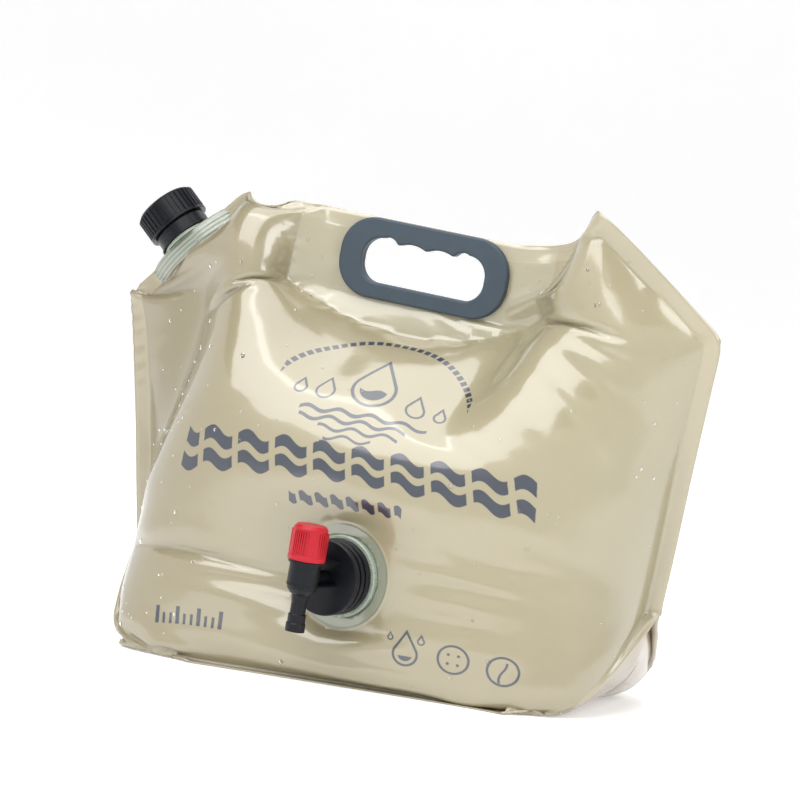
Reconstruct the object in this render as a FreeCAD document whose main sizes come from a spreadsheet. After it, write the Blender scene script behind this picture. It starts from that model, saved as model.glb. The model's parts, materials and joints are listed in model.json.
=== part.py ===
import FreeCAD, Part
import functools
import math
import os
import re
import Sketcher
from FreeCAD import Placement, Rotation, Vector

# Foldable 8 litre water bag: a stand-up film pouch with a two-piece carrying handle,
# a screw-capped filling spout in the left top corner and a swivelling tap at the front.
# Millimetres.  +X is to the right, +Y to the rear, +Z up.  The flat welded seam lies in
# the plane Y = 0 and the origin is on the ground under the middle of that seam.

doc = FreeCAD.newDocument("water_bag")

# Cuts that go right through reach this far to both sides.
THROUGH = 20
# How far the surfaces of the film run past its outline before they are cut to it.
PAST_EDGE = 3
# How flat the film is at its edge: 1 is a plain parabola.
FULLNESS = 1.3
# Grid points of a film surface, less one, across and up.
FILM_COLUMNS, FILM_ROWS = 56, 46
# The level wall of the gusset's slanted rise, and how far the inner corner at its foot
# lies back, both as a share of the film's wall.
RISE_WALL, FOOT_BACK = 1.3, 0.6
# Less material than this, in cubic millimetres, counts as nothing.
NOTHING = 0.1
# The height at which the cut corners begin.
SHOULDER = "bag_top - (shoulder_half - corner_half)"

# ---------------------------------------------------------------- driving dimensions

SIZES = [
    # film pouch, as it stands opened
    ("film_wall", 0.3, "thickness of the laminated film"),
    ("weld_band", 10, "width of the flat weld round the edge"),
    ("bag_top", 284, "height of the two top corners"),
    ("top_sag", 15, "how far the top edge sags beside the handle"),
    ("sag_place", 58, "x of the lowest point of the top edge"),
    ("corner_half", 124, "half width at the top corners"),
    ("shoulder_half", 194, "half width where the cut corners begin"),
    ("split_half", 172, "half width where the bottom gusset begins"),
    ("split_rise", 62, "height where the bottom gusset begins"),
    ("foot_half", 120, "half width of the foot of each panel"),
    ("foot_depth", 55, "distance of the foot corners from the seam plane"),
    ("foot_bow", 14, "how far the foot bows out between its corners"),
    ("belly_depth", 80, "distance of the fullest point from the seam plane"),
    ("belly_rise", 65, "height of the fullest point and of the tap"),
    ("flat_rise", 208, "height where the welded zone round the handle begins"),
    ("puff_rise", 262, "height up to which the two top corners are puffed"),
    ("corner_round", 22, "rounding of the outline at its corners"),
    ("foot_round", 6, "rounding of the outline where the bottom gusset begins"),
    ("sag_round", 60, "rounding of the top edge at its lowest point"),
    ("handle_fade", 60, "width over which the closed film beside the handle opens"),
    ("spout_fade", 45, "depth over which the film leaves the shape of the spout"),
    ("tap_fade", 38, "width over which the film leaves the flat round the tap"),
    ("flange_hold", 3, "how far the flat reaches past the flange of the tap"),
    # carrying handle, two halves with the film between them
    ("handle_long", 111, "length of the handle"),
    ("handle_high", 49.5, "height of the handle"),
    ("handle_round", 22, "corner radius of the handle"),
    ("handle_half_wall", 3.8, "thickness of each half"),
    ("handle_tilt", 4.7, "how far the handle dips to the right, in degrees"),
    ("grip_long", 81, "length of the finger opening"),
    ("grip_high", 27.7, "height of the finger opening"),
    ("grip_round", 12, "corner radius of the finger opening"),
    ("grip_drop", 0.9, "how far the opening sits below the middle"),
    ("lobe_pitch", 18.7, "distance between two finger bumps"),
    ("lobe_deep", 3.2, "depth of a finger bump"),
    ("lobe_soft", 2.4, "rounding of the tip of a finger bump"),
    ("rim_soft", 1.6, "rounding of the rims of the handle"),
    ("peg_radius", 2, "radius of a joining peg"),
    ("peg_long", 2.6, "reach of a peg into the rear half"),
    ("peg_play", 0.05, "gap round a peg in the rear half"),
    ("film_peg_play", 0.1, "gap round a peg in the film"),
    ("peg_inset_top", 6.5, "distance of the upper pegs from the top of the handle"),
    ("peg_inset_low", 5, "distance of the lower pegs from the bottom of the handle"),
    # filling spout; its own axis points up and to the left, 0 at the edge of the film
    ("boat_long", 60, "length of the weld base along the film edge"),
    ("boat_half", 12.6, "half thickness of the weld base at its middle"),
    ("boat_deep", 8.4, "depth of the weld base inside the film"),
    ("rib_proud", 0.5, "height of the weld ribs"),
    ("rib_wide", 1.2, "width of a weld rib"),
    ("neck_bore", 11, "bore radius of the neck"),
    ("neck_root", 14.4, "outer radius of the neck"),
    ("neck_crest", 15.9, "radius over the neck thread"),
    ("neck_foot", 16.8, "radius of the flange at the foot of the neck"),
    ("neck_foot_wall", 2, "thickness of that flange"),
    ("bead_place", 9, "height of the bead that holds the tamper ring"),
    ("bead_proud", 0.9, "height of that bead over the neck"),
    ("neck_top", 25, "height of the rim of the neck"),
    ("thread_pitch", 4.5, "pitch of the cap thread"),
    ("thread_play", 0.2, "gap between the two threads"),
    ("tamper_radius", 17.4, "outer radius of the tamper ring"),
    ("tamper_base", 2.1, "height of the lower edge of the tamper ring"),
    ("tamper_top", 10.6, "height of the upper edge of the tamper ring"),
    ("cap_base", 11, "height of the lower edge of the cap"),
    ("cap_top", 28.4, "height of the top of the cap"),
    ("cap_radius", 19.2, "radius of the cap at the bottom of its ribs"),
    ("cap_rib", 0.7, "height of the grip ribs"),
    ("cap_ribs", 36, "number of grip ribs"),
    ("liner_wall", 1.4, "thickness of the sealing disc"),
    # tap; its own axis points forward, 0 at the outer face of the film
    ("tap_turn", 8, "how far the tap faces to the left, in degrees"),
    ("tap_lean", 4, "rest angle of the tap in its gland, in degrees"),
    ("flange_radius", 31.5, "radius of the welded flange"),
    ("flange_wall", 1.6, "thickness of the welded flange"),
    ("flange_gap", 0.15, "gap between film and flange"),
    ("film_hole_gap", 0.3, "gap between the collar and the hole in the film"),
    ("collar_radius", 24.6, "outer radius of the collar of the flange"),
    ("collar_bore", 19, "bore radius of the collar"),
    ("collar_high", 4, "height of the collar in front of the film"),
    ("gasket_wall", 1, "thickness of the gland gasket"),
    ("gland_radius", 22.6, "radius of the rings of the gland"),
    ("gland_waist", 20, "radius between the rings"),
    ("groove_place", 8.6, "height where the first groove of the gland begins"),
    ("groove_pitch", 5.4, "distance between the two grooves of the gland"),
    ("groove_wide", 3.1, "width of a groove at its rim"),
    ("gland_face", 21, "front face of the gland"),
    ("gland_plate", 2.5, "thickness of the front plate of the gland"),
    ("inlet_radius", 4.4, "outer radius of the inlet pipe"),
    ("inlet_bore", 2.8, "bore radius of the inlet pipe"),
    ("swivel_play", 0.05, "radial play of the inlet pipe in the gland"),
    ("retain_place", 14, "rear face of the collar that holds the inlet pipe in the gland"),
    ("retain_radius", 7, "radius of that collar"),
    ("retain_wall", 2, "thickness of that collar"),
    ("tail_end", 10, "rear end of the inlet pipe"),
    ("barrel_place", 44, "distance of the barrel axis in front of the film"),
    ("barrel_radius", 9.2, "radius of the barrel"),
    ("barrel_up", 10, "top of the barrel above the inlet axis"),
    ("barrel_down", 9, "bottom of the barrel below the inlet axis"),
    ("chamber_radius", 6.4, "radius of the valve chamber"),
    ("seat_rise", 4.6, "valve seat below the inlet axis"),
    ("outlet_bore", 3, "bore radius of the outlet"),
    ("outlet_neck", 5.5, "length between the barrel and the first hose tier"),
    ("barb_step", 5.4, "length of each of the three hose tiers"),
    ("barb_slim", 4.6, "radius of the first hose tier"),
    ("barb_mid", 5.3, "radius of the second hose tier"),
    ("barb_full", 5.8, "radius of the last hose tier"),
    ("bonnet_wall", 1.4, "thickness of the plate on top of the barrel"),
    ("plate_half", 10.4, "half width of that plate"),
    ("plate_gap", 0.1, "gap between the plates and the face of the gland"),
    ("rib_wall", 0.9, "thickness of the lower rib of the tap body"),
    ("bonnet_low", 4.6, "lower face of the bonnet above the inlet axis"),
    ("stem_radius", 2.8, "radius of the valve stem"),
    ("stem_groove", 7, "lower face of the groove for the ring on the stem"),
    ("stem_groove_high", 1.6, "height of that groove"),
    ("stem_ring_wire", 0.75, "radius of the rubber of the ring on the stem"),
    ("inlet_ring_wire", 1.15, "radius of the rubber of the ring on the inlet pipe"),
    ("ring_play", 0.05, "gap between a sealing ring and what it sits on"),
    ("plug_wall", 2.6, "thickness of the valve washer"),
    ("knob_base", 11.9, "height of the lower edge of the knob"),
    ("knob_high", 20.6, "height of the knob"),
    ("knob_radius", 11.2, "radius of the knob at its lower edge"),
    ("knob_slim", 10.2, "radius of the knob under its top bevel"),
    ("knob_roof", 4, "thickness of the top of the knob"),
    ("knob_ribs", 7, "number of ribs in a group on the knob"),
    ("knob_rib_turn", 7.5, "angle between two ribs, in degrees"),
    ("knob_groups", 4, "number of groups of ribs on the knob"),
]

sheet = doc.addObject("Spreadsheet::Sheet", "Sizes")
for row, (alias, number, note) in enumerate(SIZES, start=1):
    sheet.set(f"A{row}", note)
    sheet.set(f"B{row}", str(number))
    sheet.setAlias(f"B{row}", alias)
doc.recompute()
ALIASES = {alias for alias, number, note in SIZES}


def bound(text):
    """The same expression with each name of the sheet written in full."""
    return re.sub(r"[a-z_]+", lambda word: f"Sizes.{word[0]}" if word[0] in ALIASES else word[0], text)


@functools.cache
def size(text):
    """The number that an expression in the names of the sheet comes to."""
    found = sheet.evalExpression(text)
    return float(getattr(found, "Value", found))


# ------------------------------------------------------------------------ helpers


def new_body(label, placement):
    """An empty PartDesign body at its place in the bag."""
    body = doc.addObject("PartDesign::Body", label)
    body.Label = label
    body.Placement = placement
    return body


def new_sketch(body, name, role, offset=None):
    """A sketch on one of the body's own origin planes."""
    drawing = body.newObject("Sketcher::SketchObject", name)
    plane = next(item for item in body.Origin.OriginFeatures if item.Role == role)
    drawing.AttachmentSupport = [(plane, "")]
    drawing.MapMode = "FlatFace"
    if offset:
        drawing.AttachmentOffset = Placement(Vector(0, 0, size(offset)), Rotation())
        drawing.setExpression("AttachmentOffset.Base.z", bound(offset))
    return drawing


def pin_point(drawing, geometry, end, across, upward):
    """Tie one sketch point to the sheet, both ways."""
    for kind, text in (("DistanceX", across), ("DistanceY", upward)):
        if text == "0":
            axis = -2 if kind == "DistanceX" else -1
            drawing.addConstraint(Sketcher.Constraint("PointOnObject", geometry, end, axis))
        else:
            rule = Sketcher.Constraint(kind, -1, 1, geometry, end, size(text))
            number = drawing.addConstraint(rule)
            drawing.setExpression(f"Constraints[{number}]", bound(text))


def draw_polygon(drawing, corners):
    """A closed outline with straight sides; corners are pairs of expressions."""
    places = [Vector(size(across), size(upward), 0) for across, upward in corners]
    first = drawing.GeometryCount
    total = len(corners)
    for index in range(total):
        drawing.addGeometry(Part.LineSegment(places[index], places[(index + 1) % total]))
    for index in range(total):
        following = first + (index + 1) % total
        drawing.addConstraint(Sketcher.Constraint("Coincident", first + index, 2, following, 1))
    for index, (across, upward) in enumerate(corners):
        pin_point(drawing, first + index, 1, across, upward)


def draw_circle(drawing, radius, across="0", upward="0"):
    """A circle; radius and place are expressions."""
    middle = Vector(size(across), size(upward), 0)
    circle = drawing.addGeometry(Part.Circle(middle, Vector(0, 0, 1), size(radius)))
    rule = drawing.addConstraint(Sketcher.Constraint("Radius", circle, size(radius)))
    drawing.setExpression(f"Constraints[{rule}]", bound(radius))
    pin_point(drawing, circle, 3, across, upward)


def draw_lens(drawing, half_long, half_wide):
    """Two equal arcs that meet in a point at each end."""
    along = size(half_long)
    wide = size(half_wide)
    left, right = Vector(-along, 0, 0), Vector(along, 0, 0)
    lower = drawing.addGeometry(Part.Arc(left, Vector(0, -wide, 0), right))
    upper = drawing.addGeometry(Part.Arc(right, Vector(0, wide, 0), left))
    drawing.addConstraint(Sketcher.Constraint("Coincident", lower, 1, upper, 2))
    drawing.addConstraint(Sketcher.Constraint("Coincident", lower, 2, upper, 1))
    pin_point(drawing, lower, 1, f"-({half_long})", "0")
    pin_point(drawing, lower, 2, half_long, "0")
    radius = f"(({half_long}) ^ 2 + ({half_wide}) ^ 2) / (2 * ({half_wide}))"
    for arc in (lower, upper):
        rule = drawing.addConstraint(Sketcher.Constraint("Radius", arc, size(radius)))
        drawing.setExpression(f"Constraints[{rule}]", bound(radius))


def pad(body, drawing, length, reverse=False, name="Pad"):
    """A straight extrusion added to the body."""
    feature = body.newObject("PartDesign::Pad", name)
    feature.Profile = drawing
    feature.Length = size(length)
    feature.setExpression("Length", bound(length))
    feature.Reversed = reverse
    doc.recompute()
    return feature


def revolve(body, drawing, name="Revolution"):
    """A full turn of a profile about the sketch's vertical axis, added to the body."""
    feature = body.newObject("PartDesign::Revolution", name)
    feature.Profile = drawing
    feature.ReferenceAxis = (drawing, ["V_Axis"])
    feature.Angle = 360
    doc.recompute()
    return feature


def drill(body, drawing, both_ways=True, depth=None, reverse=False, name="Pocket"):
    """A straight cut, right through both ways or to a depth, that has to take material away."""
    doc.recompute()
    before = body.Shape.Volume
    feature = body.newObject("PartDesign::Pocket", name)
    feature.Profile = drawing
    if both_ways:
        feature.Type = "ThroughAll"
        feature.Midplane = True
    else:
        feature.Length = size(depth)
        feature.setExpression("Length", bound(depth))
        feature.Reversed = reverse
    doc.recompute()
    if not body.Shape.Volume < before - NOTHING:
        raise RuntimeError(f"{body.Label}: {name} cuts nothing")
    return feature


def turned(label, placement, corners):
    """A sub-part turned about its own Z axis from one closed profile."""
    body = new_body(label, placement)
    profile = new_sketch(body, label + "_profile", "XZ_Plane")
    draw_polygon(profile, corners)
    revolve(body, profile, label + "_turned")
    return body


# ------------------------------------------------------------------ places of the parts

# The top edge of the handle lies on the top edge of the film, which slopes down to the right.
edge_slope = size("top_sag") / size("corner_half + sag_place")
handle_rise = size("bag_top") - edge_slope * size("corner_half") - size("handle_high / 2") / math.cos(
    math.radians(size("handle_tilt")))
HANDLE = Placement(Vector(0, 0, handle_rise), Rotation(Vector(0, 1, 0), size("handle_tilt")))

# The spout stands on the left cut corner, square to its edge.
cut_middle = Vector(
    -(size("shoulder_half") + size("corner_half")) / 2, 0,
    size("bag_top") - (size("shoulder_half") - size("corner_half")) / 2)
SPOUT = Placement(cut_middle, Rotation(Vector(0, 1, 0), -45))

# The tap stands on the fullest point of the front panel.  Its own +Z points forward and
# its own +Y points up before it leans in the gland.
TAP = Placement(
    Vector(0, -size("belly_depth + film_wall"), size("belly_rise")),
    Rotation(Vector(0, 0, 1), -size("tap_turn")).multiply(Rotation(Vector(1, 0, 0), 90)))
LEANED = TAP.multiply(Placement(Vector(), Rotation(Vector(0, 0, 1), -size("tap_lean"))))

# The barrel parts turn about the barrel: their own +Z is the barrel axis, upwards, and
# their 0 is level with the inlet pipe.
BARREL = LEANED.multiply(Placement(Vector(0, 0, size("barrel_place")), Rotation(Vector(1, 0, 0), -90)))

# ------------------------------------------------------------------------ film pouch


def clamp(number):
    """A number held between 0 and 1."""
    return max(0.0, min(1.0, number))


def fade(number):
    """A smooth step from 0 to 1."""
    held = clamp(number)
    return held * held * (3 - 2 * held)


def half_width(height):
    """Half the width of the outline seen from the front, at a height."""
    split, shoulder = size("split_rise"), size(SHOULDER)
    if height < split:
        share = height / split
        return size("foot_half") + (size("split_half") - size("foot_half")) * share
    if height < shoulder:
        share = (height - split) / (shoulder - split)
        return size("split_half") + (size("shoulder_half") - size("split_half")) * share
    return size("shoulder_half") - (height - shoulder)


def free_edge_depth(height):
    """How far the free lower edge of a panel stands off the seam plane."""
    return size("foot_depth") * fade(1 - height / size("split_rise"))


def belly(across, height):
    """How far a panel would stand off the seam plane at its middle, for the zone at across."""
    full, rise = size("belly_depth"), size("belly_rise")
    if height < rise:
        foot = size("foot_depth") + size("foot_bow")
        return foot + (full - foot) * (1 - (1 - height / rise) ** 2)
    beside_handle = fade((abs(across) - size("handle_long / 2")) / size("handle_fade"))
    closed = size("flat_rise") + size("puff_rise - flat_rise") * beside_handle
    share = clamp((height - rise) / (closed - rise))
    return full * (1 - share ** 2) ** FULLNESS


def spout_swell(across, height):
    """How far the film stands off the seam plane round the weld base of the spout."""
    offset = Vector(across, 0, height) - cut_middle
    along = (offset.x + offset.z) * math.sqrt(0.5)
    inward = (offset.x - offset.z) * math.sqrt(0.5)
    half_long, half_wide = size("boat_long / 2"), size("boat_half + rib_proud")
    radius = (half_long ** 2 + half_wide ** 2) / (2 * half_wide)
    lens = math.sqrt(max(radius ** 2 - along ** 2, 0)) - (radius - half_wide)
    return max(lens, 0) * (1 - fade((inward - size("boat_deep")) / size("spout_fade")))


def panel_point(share, height, lift, is_front):
    """A point of the outer face of a panel, or deeper by lift; share is -1 to 1 across."""
    width = half_width(height)
    across = share * (width + PAST_EDGE)
    inside = clamp(abs(across) / (width - size("weld_band")))
    free_edge = free_edge_depth(height)
    swell = (belly(across, height) - free_edge) * (1 - inside ** 2) ** FULLNESS
    depth = max(free_edge + swell, spout_swell(across, height))
    if is_front:
        # the rigid flange of the tap holds the film flat round it
        reach = math.hypot(across, height - size("belly_rise"))
        flat = size("belly_depth") + across * math.tan(math.radians(size("tap_turn")))
        hold = 1 - fade((reach - size("flange_radius + flange_hold")) / size("tap_fade"))
        depth = flat * hold + depth * (1 - hold)
    return Vector(across, -(depth + size("film_wall") - lift), height)


def film_outline():
    """The front view of the pouch, with rounded corners, as a closed face in the seam plane."""
    top, sag = size("bag_top"), size("top_sag")
    shoulder, foot_round = size(SHOULDER), size("foot_round")
    corners = [
        (-size("foot_half"), 0, foot_round), (-size("split_half"), size("split_rise"), foot_round),
        (-size("shoulder_half"), shoulder, size("corner_round")),
        (-size("corner_half"), top, size("corner_round")),
        (size("sag_place"), top - sag, size("sag_round")),
        (size("corner_half"), top, size("corner_round")),
        (size("shoulder_half"), shoulder, size("corner_round")),
        (size("split_half"), size("split_rise"), foot_round), (size("foot_half"), 0, foot_round),
    ]
    places = [Vector(across, 0, height) for across, height, radius in corners]
    edges, last = [], None
    total = len(corners)
    for index in range(total):
        corner, radius = places[index], corners[index][2]
        back = (places[index - 1] - corner).normalize()
        ahead = (places[(index + 1) % total] - corner).normalize()
        if index in (0, total - 1):
            start = end = corner
        else:
            half_turn = back.getAngle(ahead) / 2
            cut = radius / math.tan(half_turn)
            start, end = corner + back * cut, corner + ahead * cut
            bisector = (back + ahead).normalize()
            middle = corner + bisector * (radius / math.sin(half_turn) - radius)
        if last is not None:
            edges.append(Part.LineSegment(last, start).toShape())
        if start != end:
            edges.append(Part.Arc(start, middle, end).toShape())
        last = end
    edges.append(Part.LineSegment(last, places[0]).toShape())
    return Part.Face(Part.Wire(edges))


def film_shell(is_front):
    """A thin shell with the full outer shape of one side of the opened bag, cut to its outline."""
    top = size("bag_top") + PAST_EDGE
    skins = []
    for lift in (0, size("film_wall")):
        grid = []
        for row in range(FILM_ROWS + 1):
            height = top * row / FILM_ROWS
            shares = [2 * column / FILM_COLUMNS - 1 for column in range(FILM_COLUMNS + 1)]
            grid.append([panel_point(share, height, lift, is_front) for share in shares])
        surface = Part.BSplineSurface()
        surface.interpolate(grid)
        skins.append(surface.toShape())
    outer, inner = skins
    rims = [Part.makeRuledSurface(near, far) for near, far in zip(outer.Edges, inner.Edges)]
    shell = Part.makeShell([outer, inner] + rims)
    shell.sewShape()
    solid = Part.makeSolid(shell)
    if solid.Volume < 0:
        solid.reverse()
    outline = film_outline()
    outline.translate(Vector(0, 1, 0))
    return solid.common(outline.extrude(Vector(0, -size("belly_depth") - THROUGH, 0)))


def handle_window():
    """The hole for the fingers and the pegs of the handle, cut through both panels."""
    window = Part.makeBox(
        size("grip_long + 2"), 2 * THROUGH, size("grip_high + 2"),
        Vector(-size("grip_long / 2 + 1"), -THROUGH, -size("grip_high / 2 + grip_drop + 1")))
    upright = [edge for edge in window.Edges if abs(edge.tangentAt(0).y) > 0.9]
    window = window.makeFillet(size("grip_round"), upright)
    radius, backward = size("peg_radius + film_peg_play"), Vector(0, 1, 0)
    pegs = [
        Part.makeCylinder(radius, 2 * THROUGH, Vector(size(across), -THROUGH, size(upward)), backward)
        for across, upward in PEGS]
    window = window.fuse(pegs)
    window.Placement = HANDLE
    return window


def only_solid(shape):
    """The one solid of a cut film."""
    if len(shape.Solids) != 1:
        raise RuntimeError("a film piece fell apart")
    return shape.Solids[0]


def film_panels():
    """The two side panels; the rear one is made on the front side and mirrored across the seam plane."""
    window = handle_window()
    backward = Vector(0, 1, 0)
    hole = Part.makeCylinder(size("collar_radius + film_hole_gap"), THROUGH, Vector(0, 0, -THROUGH / 2))
    hole.Placement = TAP
    front_film = only_solid(film_shell(True).cut(window.fuse(hole)))
    rear_film = only_solid(film_shell(False).cut(window.mirror(Vector(), backward)))
    panels = []
    for label, film in (("front_panel", front_film), ("rear_panel", rear_film.mirror(Vector(), backward))):
        panel = doc.addObject("Part::Feature", label)
        panel.Label = label
        panel.Shape = film
        panel.Placement = Placement()
        panels.append(panel)
    return panels


def bottom_gusset():
    """The floor of the bag, one sheet that rises to the side seams at both ends."""
    sheet_body = new_body("gusset_sheet", Placement())
    profile = new_sketch(sheet_body, "gusset_profile", "XZ_Plane")
    inner_foot, inner_split = f"foot_half - film_wall * {FOOT_BACK}", f"split_half - film_wall * {RISE_WALL}"
    # along the outer face to the right, then back along the inner face
    draw_polygon(profile, [
        ("-foot_half", "0"), ("foot_half", "0"), ("split_half", "split_rise"), (inner_split, "split_rise"),
        (inner_foot, "film_wall"), (f"-({inner_foot})", "film_wall"),
        (f"-({inner_split})", "split_rise"), ("-split_half", "split_rise")])
    sheet_pad = pad(sheet_body, profile, "2 * belly_depth", name="gusset_pad")
    sheet_pad.Midplane = True
    # the plan view: the free edges run out from the side seams to the foot and bow between
    reach, foot = size("foot_half"), size("foot_depth")
    steps = 10
    right = []
    for step in range(steps + 1):
        height = size("split_rise") * (1 - step / steps)
        right.append(Vector(half_width(height), -free_edge_depth(height), 0))
    left = [Vector(-place.x, place.y, 0) for place in reversed(right)]
    side = Part.BSplineCurve()
    side.interpolate(right)
    other = Part.BSplineCurve()
    other.interpolate(left)
    bow = Part.Arc(Vector(reach, -foot, 0), Vector(0, -foot - size("foot_bow"), 0), Vector(-reach, -foot, 0))
    front_edges = [side.toShape(), bow.toShape(), other.toShape()]
    rear_edges = [edge.mirror(Vector(), Vector(0, 1, 0)) for edge in front_edges]
    plan = Part.Face(Part.Wire(Part.__sortEdges__(front_edges + rear_edges)))
    outline = doc.addObject("Part::Feature", "gusset_plan")
    outline.Shape = plan.extrude(Vector(0, 0, size("split_rise") + 2))
    outline.Placement = Placement(Vector(0, 0, -1), Rotation())
    common = doc.addObject("Part::Common", "bottom_gusset")
    common.Base = sheet_body
    common.Tool = outline
    common.Label = "bottom_gusset"
    return [common]


# ---------------------------------------------------------------------- carrying handle

PEGS = [("-(handle_long + grip_long) / 4", "0"), ("(handle_long + grip_long) / 4", "0")] + [
    (across, upward)
    for upward in ("handle_high / 2 - peg_inset_top", "-(handle_high / 2 - peg_inset_low)")
    for across in ("-lobe_pitch", "0", "lobe_pitch")]
# The bow of the sides of a finger bump, as a share of its depth.
LOBE_BOW = 0.75
# An arc drawn by its bow stays a shade under a half turn.
HALF_TURN = 0.9999


def draw_arc(drawing, start, end, sagitta):
    """An arc between two points given as expressions; a positive sagitta bows it to the left."""
    first = Vector(size(start[0]), size(start[1]), 0)
    last = Vector(size(end[0]), size(end[1]), 0)
    chord = last - first
    middle = (first + last) * 0.5 + Vector(-chord.y, chord.x, 0).normalize() * sagitta
    arc = Part.Arc(first, middle, last)
    index = drawing.addGeometry(arc)
    edge = arc.toShape()
    # a sketch counts an arc's ends anticlockwise
    clockwise = sagitta > 0
    pin_point(drawing, index, 2 if clockwise else 1, *start)
    pin_point(drawing, index, 1 if clockwise else 2, *end)
    drawing.addConstraint(Sketcher.Constraint("Radius", index, edge.Curve.Radius))
    return index


def draw_line(drawing, start, end):
    """A straight side between two points given as expressions."""
    first = Vector(size(start[0]), size(start[1]), 0)
    last = Vector(size(end[0]), size(end[1]), 0)
    index = drawing.addGeometry(Part.LineSegment(first, last))
    pin_point(drawing, index, 1, *start)
    pin_point(drawing, index, 2, *end)
    return index


def draw_round_corners(drawing, half_long, low, high, radius, lobes=()):
    """A box with round corners, clockwise; lobes are the points of its scalloped top side."""
    bow = -size(radius) * (1 - math.sqrt(0.5))
    left, right = f"-({half_long})", half_long
    inner_left, inner_right = f"-({half_long} - {radius})", f"{half_long} - {radius}"
    draw_arc(drawing, (left, f"{high} - {radius}"), (inner_left, high), -bow)
    points = [(inner_left, high)] + list(lobes) + [(inner_right, high)]
    for start, end in zip(points, points[1:]):
        if lobes:
            draw_arc(drawing, start, end, size("lobe_deep") * LOBE_BOW)
        else:
            draw_line(drawing, start, end)
    draw_arc(drawing, (inner_right, high), (right, f"{high} - {radius}"), -bow)
    draw_line(drawing, (right, f"{high} - {radius}"), (right, f"{low} + {radius}"))
    draw_arc(drawing, (right, f"{low} + {radius}"), (inner_right, low), -bow)
    draw_line(drawing, (inner_right, low), (inner_left, low))
    draw_arc(drawing, (inner_left, low), (left, f"{low} + {radius}"), -bow)
    draw_line(drawing, (left, f"{low} + {radius}"), (left, f"{high} - {radius}"))


def edge_names(shape, chosen):
    """The names of the edges of a shape for which chosen(edge) is true."""
    return [f"Edge{number}" for number, edge in enumerate(shape.Edges, start=1) if chosen(edge)]


def handle_half(label, is_front):
    """One half of the handle, with a scalloped finger opening and rounded rims."""
    sign = -1 if is_front else 1
    place = HANDLE.multiply(Placement(Vector(0, sign * size("film_wall"), 0), Rotation()))
    body = new_body(label, place)
    outline = new_sketch(body, label + "_outline", "XZ_Plane")
    draw_round_corners(outline, "handle_long / 2", "-handle_high / 2", "handle_high / 2", "handle_round")
    top = "grip_high / 2 - grip_drop"
    bumps = [(f"{index} * lobe_pitch" if index else "0", f"{top} - lobe_deep") for index in (-1, 0, 1)]
    draw_round_corners(outline, "grip_long / 2", "-(grip_high / 2 + grip_drop)", top, "grip_round", bumps)
    slab = pad(body, outline, "handle_half_wall", reverse=not is_front, name=label + "_slab")
    bump_x = [index * size("lobe_pitch") for index in (-1, 0, 1)]

    def is_bump(edge):
        box = edge.BoundBox
        upright = box.YLength > size("handle_half_wall") - 0.1
        return upright and min(abs(box.XMin - place_x) for place_x in bump_x) < 0.1

    soften = body.newObject("PartDesign::Fillet", label + "_bumps")
    soften.Base = (slab, edge_names(slab.Shape, is_bump))
    soften.Radius = size("lobe_soft")
    soften.setExpression("Radius", bound("lobe_soft"))
    doc.recompute()
    face_y = sign * size("handle_half_wall")

    def is_face_rim(edge):
        box = edge.BoundBox
        return abs(box.YMin - face_y) < 0.01 and abs(box.YMax - face_y) < 0.01

    rims = body.newObject("PartDesign::Fillet", label + "_rims")
    rims.Base = (soften, edge_names(soften.Shape, is_face_rim))
    rims.Radius = size("rim_soft")
    rims.setExpression("Radius", bound("rim_soft"))
    doc.recompute()
    body.Tip = rims
    pegs = new_sketch(body, label + "_peg_circles", "XZ_Plane")
    for across, upward in PEGS:
        draw_circle(pegs, "peg_radius" if is_front else "peg_radius + peg_play", across, upward)
    if is_front:
        pad(body, pegs, "peg_long + 2 * film_wall", reverse=True, name=label + "_pegs")
    else:
        drill(body, pegs, both_ways=False, depth="peg_long + 0.1", reverse=False, name=label + "_sockets")
    return [body]


# ------------------------------------------------------------------------ filling spout


def helix_cut_or_ridge(body, name, kind, corners, base, height):
    """A helical ridge or groove about the body's own Z axis."""
    profile = new_sketch(body, name + "_profile", "XZ_Plane")
    draw_polygon(profile, [(radius, f"{base} + {upward}") for radius, upward in corners])
    feature = body.newObject(f"PartDesign::{kind}Helix", name)
    feature.Profile = profile
    feature.ReferenceAxis = (profile, ["V_Axis"])
    feature.Mode = 0
    feature.Pitch = size("thread_pitch")
    feature.setExpression("Pitch", bound("thread_pitch"))
    feature.Height = size(height)
    feature.setExpression("Height", bound(height))
    doc.recompute()
    return feature


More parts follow.
